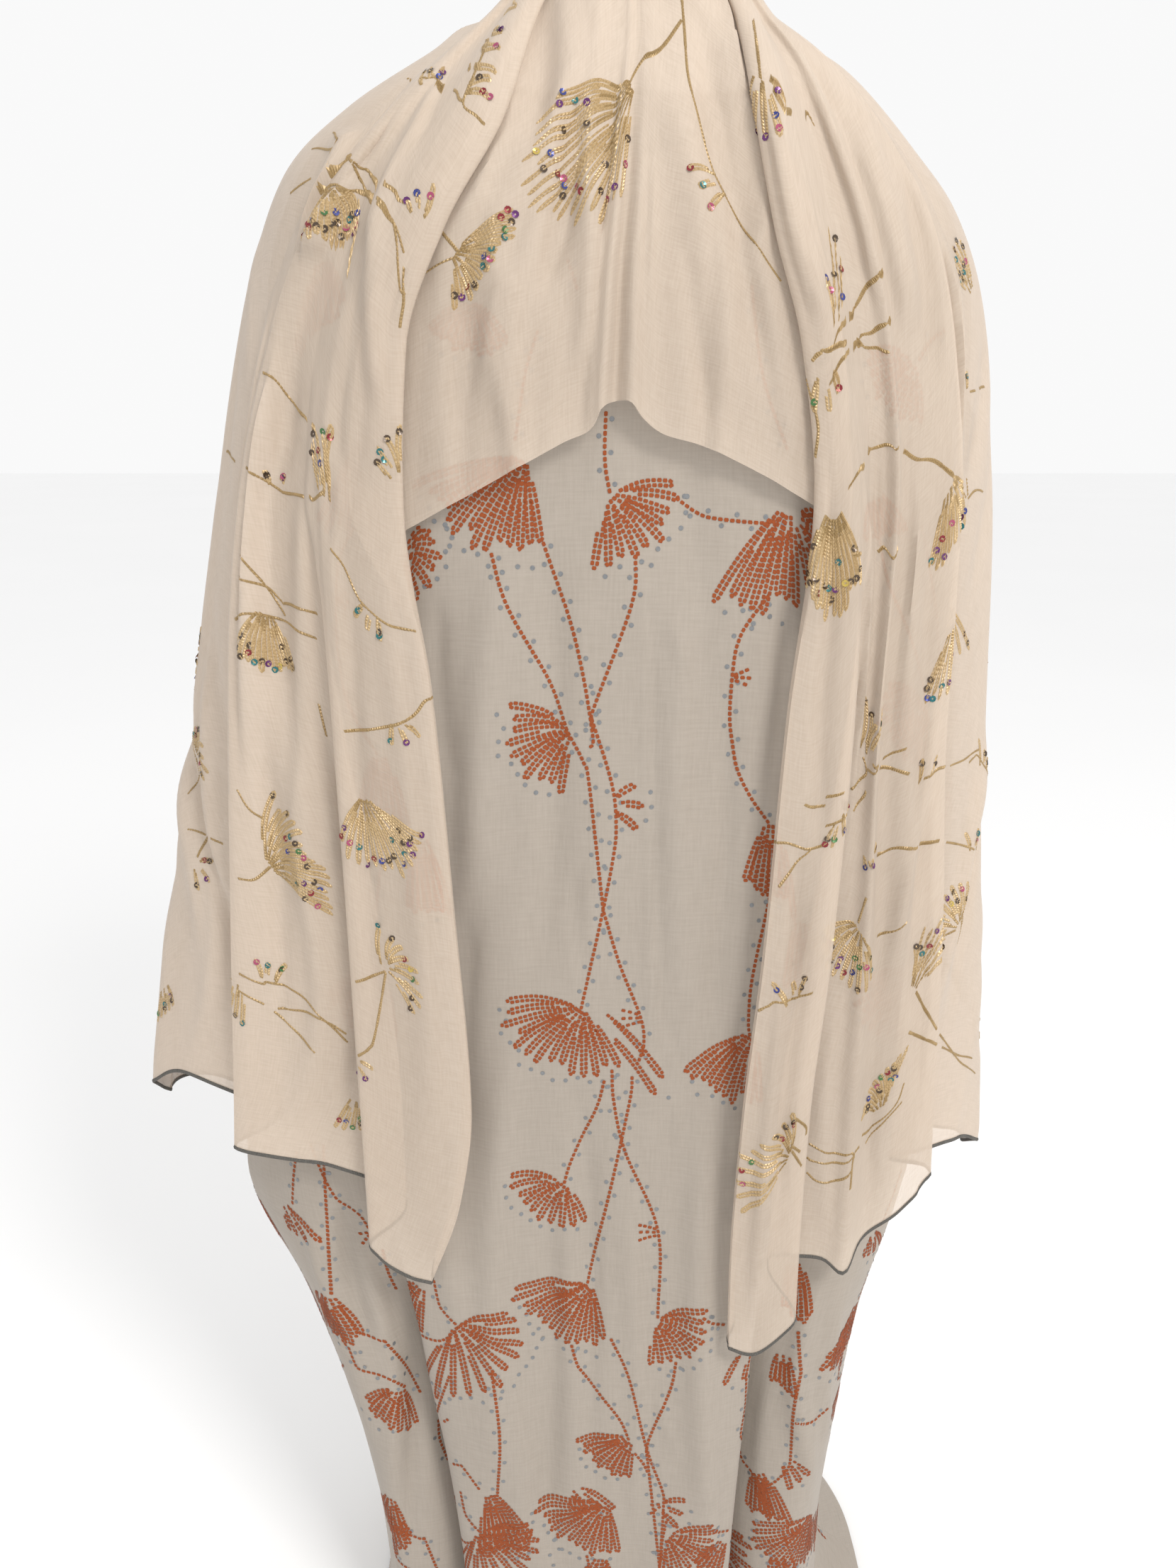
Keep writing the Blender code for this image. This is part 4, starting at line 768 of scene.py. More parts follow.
class Form:
    def __init__(self, rings, roundness):
        self.count = len(rings)
        self.roundness = roundness
        self.dense = np.linspace(0.0, self.count - 1.0, (self.count - 1) * RING_SAMPLES + 1)
        rows = [Ring(*row[:4], *(row[4:] * 4)[:4]) for row in rings]
        self.columns = {
            field: through(range(self.count), np.array(values) / MILLIMETRES, self.dense)
            for field, *values in zip(Ring._fields, *rows)
        }

    def column(self, field, level):
        return np.interp(level, self.dense, self.columns[field])

    def sided(self, way, ahead, behind, level):
        """The reach and the height on one side where way is positive, and on the other elsewhere."""
        return (
            np.where(way > 0.0, self.column(ahead + kind, level), self.column(behind + kind, level))
            for kind in ("", "_z")
        )

    def point(self, angle, level):
        sine = np.sin(angle)
        cosine = np.cos(angle)
        half, side_z = self.sided(sine, "right", "left", level)
        depth, end_z = self.sided(cosine, "front", "back", level)
        power = self.roundness
        reach = (np.abs(sine / half) ** power + np.abs(cosine / depth) ** power) ** (-1.0 / power)
        height = side_z * sine ** 2 + end_z * cosine ** 2
        return np.stack([reach * sine, -reach * cosine, height], axis=-1)

    def normal(self, angle, level):
        across = self.point(angle + NORMAL_STEP, level) - self.point(angle - NORMAL_STEP, level)
        lower = self.point(angle, np.clip(level + NORMAL_STEP, 0, self.count - 1))
        upper = self.point(angle, np.clip(level - NORMAL_STEP, 0, self.count - 1))
        return unit(np.cross(lower - upper, across))

    def lifted(self, angle, level, lift):
        return self.point(angle, level) + self.normal(angle, level) * np.asarray(lift)[..., None]

    def angle_at(self, side, level, distances, heights):
        """The angle in front where the ring is as far from the middle plane as the drape line."""
        angles = np.linspace(0.0, WIDEST_LINE, LINE_SAMPLES)
        points = self.point(side * angles, np.full(len(angles), float(level)))
        wanted = through(heights, distances, points[:, 2])
        missing = np.abs(points[:, 0]) - wanted
        beyond = np.nonzero(missing > 0.0)[0]
        if len(beyond) == 0:
            return angles[-1]
        last = max(beyond[0], 1)
        share = -missing[last - 1] / (missing[last] - missing[last - 1])
        return angles[last - 1] + share * (angles[last] - angles[last - 1])

    def level_of_height(self, angle_of_level, first, height):
        levels = np.linspace(first, self.count - 1, LEVEL_SAMPLES)
        heights = self.point(angle_of_level(levels), levels)[:, 2]
        return float(np.interp(-height, -heights, levels))


# The shawl and the dress as columns of points

class Drape:
    """One side stretch of the shawl: its drape lines turned into angles on the rings."""

    def __init__(self, form, side, lines, stations):
        self.form = form
        self.side = side
        self.stations = stations
        self.last = len(stations) - 1
        heights, *distances = np.array(lines[::-1]).T / MILLIMETRES
        self.levels = np.linspace(CAP_EDGE_RING, form.count - 1, LINE_SAMPLES)
        self.angles = [
            [form.angle_at(side, level, line, heights) for level in self.levels] for line in distances
        ]
        self.angles.append([math.pi / 2.0] * len(self.levels))
        self.angles.append([BACK_SEAM_ANGLE] * len(self.levels))

    def line_angle(self, line, level):
        return np.interp(level, self.levels, self.angles[line])

    def place_angle(self, place, levels):
        """The angle at each level of a place counted in drape lines."""
        lines = np.array([self.line_angle(line, levels) for line in range(len(self.angles))])
        lower = np.clip(np.floor(place).astype(int), 0, len(lines) - 2)
        share = place - lower
        across = np.arange(len(levels))
        return lines[lower, across] * (1.0 - share) + lines[lower + 1, across] * share

    def curve(self, value, levels, _end):
        """Angle and lift down one column of the cloth."""
        edge = self.form.point(self.side * self.line_angle(0, levels), levels)
        height = edge[:, 2]
        reach = np.linalg.norm(edge[:, :2], axis=1)
        rise = smoothstep(*FOLDS_RISE, height)
        lean = smoothstep(*FOLDS_LEAN, height)
        formed = smoothstep(CAP_EDGE_RING, SLOPE_RING, levels)
        lift = value["lift_high"] + (value["lift_low"] - value["lift_high"]) * rise
        shift = value["shift_high"] + (value["shift_low"] - value["shift_high"]) * lean
        spread = smoothstep(0.0, SHOULDER_RING, levels)
        share = TUCK_ABOVE_ARCH + (TUCK_BELOW_ARCH - TUCK_ABOVE_ARCH) * smoothstep(*TUCK_ENDS, height)
        angle = self.place_angle(value["line"] + value["tuck"] * share, levels) + shift * spread / reach
        return self.side * angle, lift * (LIFT_AT_CAP + (1.0 - LIFT_AT_CAP) * formed)


class Span:
    """A stretch of the shawl between two lines on the rings."""

    def __init__(self, form, stations, angle_span, tuck_width=None):
        self.form = form
        self.stations = stations
        self.last = len(stations) - 1
        self.angle_span = angle_span
        self.tuck_width = tuck_width

    def curve(self, value, levels, end):
        start_angle, end_angle = self.angle_span(levels)
        angle = start_angle + (end_angle - start_angle) * value["place"]
        if self.tuck_width is not None:
            reach = np.linalg.norm(self.form.point(angle, levels)[:, :2], axis=1)
            angle = angle + value["tuck"] * self.tuck_width(levels) / reach
        fallen = smoothstep(CAP_EDGE_RING + RINGS_BEFORE_FOLDS, end, levels)
        return angle, value["lift_high"] + (value["lift_low"] - value["lift_high"]) * fallen


class Column:
    """One column of cloth down a stretch."""

    def __init__(self, stretch, at):
        self.stretch = stretch
        self.value = values_at(stretch.stations, at)
        form = stretch.form
        self.end = form.level_of_height(
            lambda levels: stretch.curve(self.value, levels, form.count - 1.0)[0],
            CAP_EDGE_RING, self.value["hem"])

    def points(self, levels):
        angle, lift = self.stretch.curve(self.value, levels, self.end)
        # On the cap the folds fade out towards its top
        lift = lift * smoothstep(0.0, CAP_EDGE_RING, levels)
        return self.stretch.form.lifted(angle, levels, lift)

    def grid(self, rows):
        """Points at even steps from the edge of the cap to the hem."""
        levels = np.linspace(CAP_EDGE_RING, self.end, LEVEL_SAMPLES)
        points = self.points(levels)
        run = run_along(points)
        return self.points(np.interp(np.linspace(0.0, run[-1], rows), run, levels))


def even_places(curve_points, last, count):
    """Places across a cloth at even steps of its width, with a few more in the tight turns."""
    dense = np.linspace(0.0, last, last * PLACE_SAMPLES + 1)
    rows = np.stack([curve_points(at) for at in dense], axis=1)
    steps = np.linalg.norm(np.diff(rows, axis=1), axis=2).mean(axis=0) + TURN_STEP / PLACE_SAMPLES
    run = np.concatenate([[0.0], np.cumsum(steps)])
    return np.interp(np.linspace(0.0, run[-1], count), run, dense)


def shawl_columns(stretch, count):
    levels = np.array(PLACE_LEVELS)
    places = even_places(lambda at: Column(stretch, at).points(levels), stretch.last, count)
    return [Column(stretch, at) for at in places]


def slit_half_width(height):
    share = (height - SLIT_MIDDLE) / SLIT_HALF_HEIGHT
    return np.maximum(SLIT_HALF_WIDTH * (1.0 - share ** 2), 0.0)


class Panel:
    """A dress panel from side seam to side seam, in front or behind."""

    def __init__(self, form, folds, front):
        self.form = form
        self.folds = folds
        self.front = front
        self.last = len(folds) - 1
        dense = np.linspace(NECK_EDGE_RING, form.count - 1.0, LEVEL_SAMPLES)
        points = form.point(np.zeros(LEVEL_SAMPLES), dense)
        self.dense = dense
        self.run = run_along(points)

    def levels(self, rows):
        return np.interp(np.linspace(0.0, self.run[-1], rows), self.run, self.dense)

    def column(self, at, levels):
        form = self.form
        value = values_at(self.folds, at)
        height = form.column("front_z", levels)
        formed = smoothstep(DRESS_FOLD_START, DRESS_FOLD_FULL, height)
        share = value["high"] + (value["low"] - value["high"]) * formed
        side = math.copysign(1.0, value["high"])
        half = form.column("left" if side < 0.0 else "right", levels)
        depth = form.column("front" if self.front else "back", levels)
        width = np.minimum(np.abs(share), 1.0)
        forward = depth * np.maximum(1.0 - width ** form.roundness, 0.0) ** (1.0 / form.roundness)
        angle = np.arctan2(width * half, forward)
        # The panel draws back from its side seam round the sleeve opening
        near = max(1.0 - min(at, self.last - at) / SEAM_STATIONS, 0.0)
        seam_z = form.column("left_z" if side < 0.0 else "right_z", levels)
        angle = angle - near * slit_half_width(seam_z) / half
        lift = value["lift_high"] + (value["lift_low"] - value["lift_high"]) * formed
        turned = side * angle if self.front else math.pi - side * angle
        return form.lifted(turned, levels, lift)

    def grid(self, columns, rows):
        levels = self.levels(rows)
        picked = levels[:: max(rows // PANEL_PICKS, 1)]
        places = even_places(lambda at: self.column(at, picked), self.last, columns)
        return np.stack([self.column(at, levels) for at in places], axis=1)


# Cloth as a fine grid of points

def search(holds, count, size):
    """How far along a grid of that size a test holds, for each of count marks."""
    low = np.zeros(count)
    high = np.full(count, size - 1.0)
    for _ in range(SEARCH_STEPS):
        middle = (low + high) / 2.0
        held = holds(middle)
        low = np.where(held, middle, low)
        high = np.where(held, high, middle)
    return (low + high) / 2.0


class Cloth:
    """A grid of points with its own measure in metres.

    u grows across the columns from column_zero, and up is the height above the hem along the cloth."""

    def __init__(self, points, facing, column_zero=0, wrapped=False):
        self.points = points
        self.facing = facing
        self.column_zero = column_zero
        self.wrapped = wrapped
        self.measure()

    def measure(self):
        across = np.linalg.norm(np.diff(self.points, axis=1), axis=2)
        self.u = np.pad(np.cumsum(across, axis=1), ((0, 0), (1, 0)))
        self.u -= self.u[:, self.column_zero][:, None]
        down = np.linalg.norm(np.diff(self.points, axis=0), axis=2)
        self.up = np.pad(np.cumsum(down, axis=0), ((1, 0), (0, 0)))
        self.up = self.up[-1] - self.up
        self.turn_normals()

    def turn_normals(self):
        if self.wrapped:
            across = np.roll(self.points, -1, axis=1) - np.roll(self.points, 1, axis=1)
        else:
            across = np.gradient(self.points, axis=1)
        self.normal = unit(np.cross(np.gradient(self.points, axis=0), across)) * self.facing

    def sample(self, field, row, column):
        """A field of the grid between its points."""
        rows, columns = field.shape[:2]
        top = np.clip(np.floor(row).astype(int), 0, rows - 2)
        left = np.clip(np.floor(column).astype(int), 0, columns - 2)
        down = np.clip(row - top, 0.0, 1.0)
        over = np.clip(column - left, 0.0, 1.0)
        if field.ndim == 3:
            down = down[:, None]
            over = over[:, None]
        upper = field[top, left] * (1.0 - over) + field[top, left + 1] * over
        lower = field[top + 1, left] * (1.0 - over) + field[top + 1, left + 1] * over
        return upper * (1.0 - down) + lower * down

    def locate(self, u, up):
        """Row and column of places on the cloth given in metres."""
        rows, columns = self.u.shape
        row = np.full(len(u), rows / 2.0)
        for _ in range(SEARCH_ROUNDS):
            column = search(lambda at: self.sample(self.u, row, at) < u, len(u), columns)
            row = search(lambda at: self.sample(self.up, at, column) > up, len(u), rows)
        return row, search(lambda at: self.sample(self.u, row, at) < u, len(u), columns)

    def on(self, u, up, lift):
        """Points above the cloth's middle surface, at places given in metres, and which of them it has."""
        u = np.asarray(u, float)
        up = np.asarray(up, float)
        row, column = self.locate(u, up)
        out = unit(self.sample(self.normal, row, column))
        missed = np.hypot(self.sample(self.u, row, column) - u, self.sample(self.up, row, column) - up)
        return self.sample(self.points, row, column) + out * np.asarray(lift)[..., None], missed < ON_CLOTH

    def from_joins(self, joins):
        """0 at the edges that join another cloth, growing to 1 away from them."""
        away = {
            "top": self.up[0] - self.up,
            "first": self.u - self.u[:, :1],
            "last": self.u[:, -1:] - self.u,
        }
        share = np.ones(self.u.shape)
        for join in joins:
            share = share * smoothstep(0.0, JOIN_FADE, away[join])
        return share

    def from_turns(self):
        """1 on plain stretches, falling to 0 where the cloth already turns sharply, as in a rolled edge."""
        turn = np.zeros(self.u.shape)
        cosine = np.sum(self.normal[:, 1:] * self.normal[:, :-1], axis=-1)
        turn[:, 1:] = np.arccos(np.clip(cosine, -1.0, 1.0))
        for _ in range(TURN_SPREAD):
            padded = np.pad(turn, ((0, 0), (1, 1)), mode="edge")
            turn = np.maximum(turn, np.maximum(padded[:, :-2], padded[:, 2:]))
        for _ in range(TURN_SPREAD):
            turn = blurred(turn)
        return 1.0 - smoothstep(*SHARP_TURN, turn)

    def room(self, tree, way):
        """How far each point can move outwards, or inwards with way -1, before it meets other cloth."""
        free = np.full(self.u.size, HIGHEST_CREASE / ROOM_SHARE)
        points = self.points.reshape(-1, 3)
        ahead = self.normal.reshape(-1, 3) * way
        for index, (point, out) in enumerate(zip(points, ahead)):
            start = Vector(point + out * RAY_START)
            hit = tree.ray_cast(start, Vector(out), free[index])
            if hit[3] is not None:
                free[index] = hit[3] + RAY_START
        free = free.reshape(self.u.shape)
        # The least of the neighbours, so that no single point stands out
        for axis in (0, 1):
            for _ in range(ROOM_SPREAD):
                free = np.minimum(free, np.minimum(np.roll(free, 1, axis), np.roll(free, -1, axis)))
        for _ in range(ROOM_SPREAD):
            free = blurred(free)
        return np.maximum(free - CLOTH_THICKNESS, 0.0) * ROOM_SHARE

    def crease(self, creases, tree, joins):
        """Soft ridges and troughs along lines on the cloth, none of them ruled straight."""
        height = np.zeros(self.u.shape)
        for crease in creases:
            run_u = crease.end_u - crease.u
            run_up = crease.end_up - crease.up
            length = math.hypot(run_u, run_up)
            off_u = self.u - crease.u
            off_up = self.up - crease.up
            share = (off_u * run_u + off_up * run_up) / length ** 2
            bow = crease.bow * np.sin(math.pi * np.clip(share, 0.0, 1.0))
            aside = (off_u * run_up - off_up * run_u) / length - bow
            taper = smoothstep(*CREASE_RISES, share) * (1.0 - smoothstep(*CREASE_SINKS, share))
            height += CREASE_SHARE * crease.height * taper * np.exp(-((aside / crease.width) ** 2))
        height = np.clip(height, -DEEPEST_CREASE, HIGHEST_CREASE) * self.from_joins(joins) * self.from_turns()
        height = np.clip(height, -self.room(tree, -1.0), self.room(tree, 1.0))
        self.points = self.points + self.normal * height[..., None]
        self.turn_normals()


def ripples(cloth, seed, count, height, width, lean):
    """Seeded long ripples, as every hanging cloth has."""
    drawn = np.random.default_rng(seed)
    creases = []
    for _ in range(count):
        u = drawn.uniform(cloth.u.min(), cloth.u.max())
        up = drawn.uniform(cloth.up.min(), cloth.up.max())
        half = drawn.uniform(*RIPPLE_HALF_LENGTH)
        slope = drawn.normal(0.0, lean)
        creases.append(Crease(
            u - slope * half, up - half, u + slope * half, up + half,
            width * drawn.uniform(*RIPPLE_WIDTHS), height * drawn.normal(0.0, 1.0), RIPPLE_BOW))
    return creases


def creases_on(name):
    """The creases listed for a cloth, and their repeats on its hidden parts."""
    return [
        Crease(*(np.add(row, (by_u, by_up, by_u, by_up, 0, 0, 0)) / MILLIMETRES))
        for source, by_u, by_up in ((name, 0, 0), *CREASE_MOVES[name])
        for row in CREASES.get(source, ())
    ]


def cloth_tree(clothes):
    """All the cloths as one searchable surface."""
    points = []
    faces = []
    count = 0
    for cloth in clothes.values():
        rows, columns = cloth.points.shape[:2]
        index = np.arange(rows * columns).reshape(rows, columns) + count
        points += cloth.points.reshape(-1, 3).tolist()
        faces += grid_quads(index).tolist()
        count += rows * columns
    return BVHTree.FromPolygons(points, faces)


def crease_cloths(clothes):
    """The listed creases, their like on the hidden sides, and the ripples."""
    tree = cloth_tree(clothes)
    for index, name in enumerate(CREASE_MOVES):
        small = ripples(clothes[name], RIPPLE_SEED + index, *RIPPLES[name.split("_")[0]])
        clothes[name].crease(creases_on(name) + small, tree, JOINS[name])


# Mesh objects

def link_mesh(name, points, faces, materials, slots=None, uv=None, smooth=True):
    """A mesh object from points and faces, with one material or one for each slot."""
    data = bpy.data.meshes.new(name)
    data.from_pydata(np.asarray(points).tolist(), [], faces if isinstance(faces, list) else faces.tolist())
    for material in materials:
        data.materials.append(material)
    if slots is not None:
        data.polygons.foreach_set("material_index", np.asarray(slots, np.int32))
    if uv is not None:
        corners = np.zeros(len(data.loops), np.int32)
        data.loops.foreach_get("vertex_index", corners)
        layer = data.uv_layers.new(name="cloth")
        layer.data.foreach_set("uv", np.asarray(uv, np.float32)[corners].ravel())
    data.polygons.foreach_set("use_smooth", np.full(len(data.polygons), smooth))
    if smooth:
        data.set_sharp_from_angle(angle=SHARP_ANGLE)
    made = bpy.data.objects.new(name, data)
    bpy.context.scene.collection.objects.link(made)
    return made


def shell(name, cloth, thickness, materials):
    """A thin closed shell round a cloth, with its own finish on the inside."""
    rows, columns = cloth.points.shape[:2]
    outer = cloth.points + cloth.normal * thickness / 2.0
    inner = cloth.points - cloth.normal * thickness / 2.0
    index = np.arange(rows * columns).reshape(rows, columns)
    if cloth.wrapped:
        index = np.concatenate([index, index[:, :1]], axis=1)
    quads = grid_quads(index)
    if cloth.facing > 0.0:
        quads = quads[:, ::-1]
    count = rows * columns
    edges = [index[0], index[-1][::-1]]
    if not cloth.wrapped:
        edges += [index[::-1, 0], index[:, -1]]
    rims = []
    for edge in edges:
        rim = np.stack([edge[:-1], edge[:-1] + count, edge[1:] + count, edge[1:]], axis=-1)
        rims.append(rim[:, ::-1] if cloth.facing > 0.0 else rim)
    faces = np.concatenate([quads, quads[:, ::-1] + count, *rims])
    slots = np.zeros(len(faces), int)
    slots[len(quads): 2 * len(quads)] = 1
    flat = np.stack([cloth.u, cloth.up], axis=-1).reshape(-1, 2)
    points = np.concatenate([outer.reshape(-1, 3), inner.reshape(-1, 3)])
    return link_mesh(name, points, faces, materials, slots, np.concatenate([flat, flat]))


def add_marks(name, groups, finish):
    """One object with the dashes or stitches of several cloths."""
    points = []
    faces = []
    count = 0
    for group_points, group_faces in groups:
        points.append(group_points)
        faces.append(group_faces + count)
        count += len(group_points)
    made = link_mesh(name, np.concatenate(points), np.concatenate(faces), [finish], smooth=False)
    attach(made, "root")


# Printed and stitched flowers

def marks_along(line, pitch, phase=0.5):
    """Centres and directions of dashes at an even pitch along a line."""
    run = run_along(line)
    count = max(int(run[-1] / pitch), 1)
    at = (np.arange(count) + phase) * run[-1] / count
    behind, centres, ahead = (
        np.stack([np.interp(at + off, run, part) for part in line.T], axis=-1)
        for off in (-pitch * DASH_REACH, 0.0, pitch * DASH_REACH)
    )
    return np.concatenate([centres, unit(ahead - behind)], axis=1)


def turned(heading):
    """A heading as degrees from straight down, between -180 and 180."""
    return (heading + 270.0) % 360.0 - 180.0


def petal_course(petal):
    """The middle line of a petal and its direction."""
    share = np.linspace(0.0, 1.0, PETAL_STEPS)
    heading = petal.start + petal.bend * share ** BEND_POWER
    step = petal.length / (PETAL_STEPS - 1)
    middle = np.stack([np.cumsum(np.cos(heading)), np.cumsum(np.sin(heading))], axis=-1) * step
    return middle - middle[0] + petal.root, heading


def petal_outline(petal, half_width):
    """A long loop that narrows to its base and has a rounded tip. One side starts further along."""
    middle, heading = petal_course(petal)
    share = np.linspace(0.0, 1.0, PETAL_STEPS)
    side = np.stack([-np.sin(heading), np.cos(heading)], axis=-1)
    opened = smoothstep(*PETAL_OPENS, share)
    tip = np.sqrt(np.clip((1.0 - share) * petal.length / half_width * PETAL_TIP, 0.0, 1.0))
    width = (half_width * opened * tip)[:, None]
    late = int(petal.late * PETAL_STEPS)
    return np.concatenate([middle + side * width, (middle - side * width)[late:][::-1]])


def petals_of(flower, drawn):
    """Petals that spring from a short ridge: the level ones droop and the lower ones sweep outwards."""
    middle = math.radians((flower.first + flower.last) / 2.0)
    across = np.array([-math.sin(middle), math.cos(middle)])
    petals = []
    for index in range(flower.petals):
        share = index / max(flower.petals - 1, 1)
        aim = flower.first + (flower.last - flower.first) * share
        length = flower.length_first + (flower.length_last - flower.length_first) * share
        length *= drawn.uniform(*PETAL_LENGTHS)
        out = turned(aim)
        droop = min(DROOP_SHARE * max(abs(out) - DROOP_FROM, 0.0), DROOP_MOST)
        droop -= SWEEP_SHARE * min(abs(out), DROOP_FROM)
        droop = math.radians(math.copysign(droop, out) if out else 0.0)
        ridge = (share - 0.5) * FLOWER_RIDGE * math.copysign(1.0, flower.last - flower.first)
        petals.append(Petal(
            np.array(flower.at) + across * ridge, math.radians(aim) + droop, -2.0 * droop, length,
            drawn.uniform(*PETAL_LATENESS)))
    return petals


def flower_marks(flower, pitch, half_width, drawn):
    """The dashes round the petals of a flower, with how near the base each lies, from 0 to 1."""
    groups = []
    for index, petal in enumerate(petals_of(flower, drawn)):
        marks = marks_along(petal_outline(petal, half_width), pitch, drawn.uniform(*DASH_PHASES))
        nearness = np.abs(2.0 * (np.arange(len(marks)) + 0.5) / len(marks) - 1.0)
        # Where the bases crowd, every second petal starts further out
        clear = nearness < 1.0 - CROWDED_SHARE * (index % 2)
        groups.append(np.concatenate([marks, nearness[:, None]], axis=1)[clear])
    return np.concatenate(groups)


def dash_mesh(cloth, marks, length, width, lift, domed):
    """Small hexagons that lie on the cloth, flat for print or domed for stitches."""
    corners = DASH_CORNERS * np.array([length / 2.0, width / 2.0])
    along_dash = marks[:, 2:4]
    across_dash = np.stack([-along_dash[:, 1], along_dash[:, 0]], axis=-1)
    flat = (
        marks[:, None, :2]
        + along_dash[:, None, :] * corners[None, :, :1]
        + across_dash[:, None, :] * corners[None, :, 1:]
    )
    # Neighbours differ a little in height, so that crossing dashes do not share a plane
    height = lift + (np.arange(len(marks)) % LIFT_STEPS) * LIFT_STEP
    rim, held = cloth.on(flat[..., 0].ravel(), flat[..., 1].ravel(), np.repeat(height, len(corners)))
    held = held.reshape(len(marks), -1).all(axis=1)
    points = rim.reshape(len(marks), -1, 3)[held]
    size = len(corners)
    if domed:
        crown, _ = cloth.on(marks[held, 0], marks[held, 1], height[held] + domed)
        points = np.concatenate([points, crown[:, None]], axis=1)
        ring = np.arange(size)
        fan = np.stack([ring, (ring + 1) % size, np.full(size, size)], axis=-1)
        faces = (np.arange(len(points))[:, None, None] * (size + 1) + fan).reshape(-1, 3)
    else:
        faces = np.arange(len(points) * size).reshape(-1, size)
    return points.reshape(-1, 3), faces[:, ::-1] if cloth.facing < 0.0 else faces


def pattern_on(name):
    """The flowers and stems of a cloth, then the repeats that carry the pattern on where it is hidden."""
    flowers = []
    stems = []
    for source, low, high, by_u, by_up in ((name, -math.inf, math.inf, 0, 0), *REPEATS.get(name, ())):
        for u, up, first, last, near, far, petals in FLOWERS.get(source, ()):
            if low < up < high:
                at = ((u + by_u) / MILLIMETRES, (up + by_up) / MILLIMETRES)
                flowers.append(Flower(at, first, last, near / MILLIMETRES, far / MILLIMETRES, petals))
        stems += [
            (np.array(stem).reshape(-1, 2) + (by_u, by_up)) / MILLIMETRES
            for stem in STEMS.get(source, ()) if all(low < up < high for up in stem[1::2])
        ]
    return flowers, stems


def tip_dots(flower, drawn):
    """Places near the tips of a flower's petals, and some further in."""
    dots = []
    for petal in petals_of(flower, drawn):
        middle, heading = petal_course(petal)
        for low, high, chance in SEQUIN_ROWS:
            at = int(drawn.uniform(low, high) * (PETAL_STEPS - 1))
            if drawn.uniform() < chance:
                dots.append((*middle[at], math.cos(heading[at]), math.sin(heading[at])))
    return np.array(dots).reshape(-1, 4)


def flower_dots(flower, drawn, spacing, beyond):
    """Dots in an arc a little outside a flower's tips."""
    reach = (flower.length_first + flower.length_last) / 2.0 + beyond
    first = math.radians(flower.first)
    last = math.radians(flower.last)
    count = max(int(abs(last - first) * reach / spacing), 1)
    turn = first + (last - first) * (np.arange(count) + 0.5) / count
    away = reach * drawn.uniform(*GLITTER_REACHES, count)
    return np.stack([
        flower.at[0] + np.cos(turn) * away, flower.at[1] + np.sin(turn) * away,
        np.cos(turn), np.sin(turn)], axis=-1)


def stem_dots(stem, spacing, aside):
    """Dots on both sides of a stem in turn."""
    dots = marks_along(smooth_line(stem, LINE_STEPS), spacing)
    if len(dots) < 2:
        return dots[:0]
    way = np.where(np.arange(len(dots)) % 2 == 0, aside, -aside)
    dots[:, 0] -= dots[:, 3] * way
    dots[:, 1] += dots[:, 2] * way
    return dots


def print_marks(flowers, stems, pitch, stem_pitch, half_width, seed):
    drawn = np.random.default_rng(seed)
    petals = [flower_marks(flower, pitch, half_width, drawn) for flower in flowers]
    lines = [marks_along(smooth_line(stem, LINE_STEPS), stem_pitch) for stem in stems]
    return np.concatenate(petals), np.concatenate(lines)


def disc_mesh(cloth, marks, radius, hole, lift, tilt, drawn):
    """Flat or holed discs on the cloth, each leaning its own way."""
    _, held = cloth.on(marks[:, 0], marks[:, 1], lift)
    centre, beside, above = (
        cloth.on(marks[held, 0] + off_u, marks[held, 1] + off_up, lift)[0]
        for off_u, off_up in ((0.0, 0.0), (DISC_PROBE, 0.0), (0.0, DISC_PROBE))
    )
    right = unit(beside - centre)
    out = unit(np.cross(right, above - centre) * cloth.facing)
    out = unit(out + drawn.normal(0.0, tilt, out.shape))
    right = unit(right - out * np.sum(right * out, axis=1, keepdims=True))
    circle = circles(right, np.cross(out, right), DISC_SIDES)
    rim = centre[:, None] + circle * radius
    start = np.arange(len(centre))[:, None]
    ring = np.arange(DISC_SIDES)
    if not hole:
        return rim.reshape(-1, 3), start * DISC_SIDES + ring[None]
    inner = centre[:, None] + circle * hole - out[:, None] * SEQUIN_CUP
    points = np.concatenate([rim, inner], axis=1)
    after = (ring + 1) % DISC_SIDES
    quads = np.stack([ring, after, after + DISC_SIDES, ring + DISC_SIDES], axis=-1)
    faces = start[:, :, None] * 2 * DISC_SIDES + quads[None]
    return points.reshape(-1, 3), faces.reshape(-1, 4)


# The pattern on the pieces

def add_print(clothes, finishes):
    for name in ("dress_front", "dress_back"):
        cloth = clothes[name]
        flowers, stems = pattern_on(name)
        petals, lines = print_marks(flowers, stems, PRINT_PITCH, STEM_PITCH, PETAL_HALF_WIDTH, PRINT_SEED)
        groups = [
            dash_mesh(cloth, petals, *PRINT_DASH, PRINT_LIFT, 0.0),
            dash_mesh(cloth, lines, *STEM_DASH, PRINT_LIFT, 0.0),
        ]
        add_marks(name + "_print", groups, finishes["printed_dashes"])
        drawn = np.random.default_rng(GLITTER_SEED)
        dots = [flower_dots(flower, drawn, GLITTER_SPACING, GLITTER_BEYOND) for flower in flowers]
        dots += [stem_dots(stem, STEM_PITCH * GLITTER_EVERY, GLITTER_ASIDE) for stem in stems]
        group = disc_mesh(cloth, np.concatenate(dots), GLITTER_RADIUS, 0.0, PRINT_LIFT, GLITTER_TILT, drawn)
        add_marks(name + "_glitter", [group], finishes["silver_dots"])


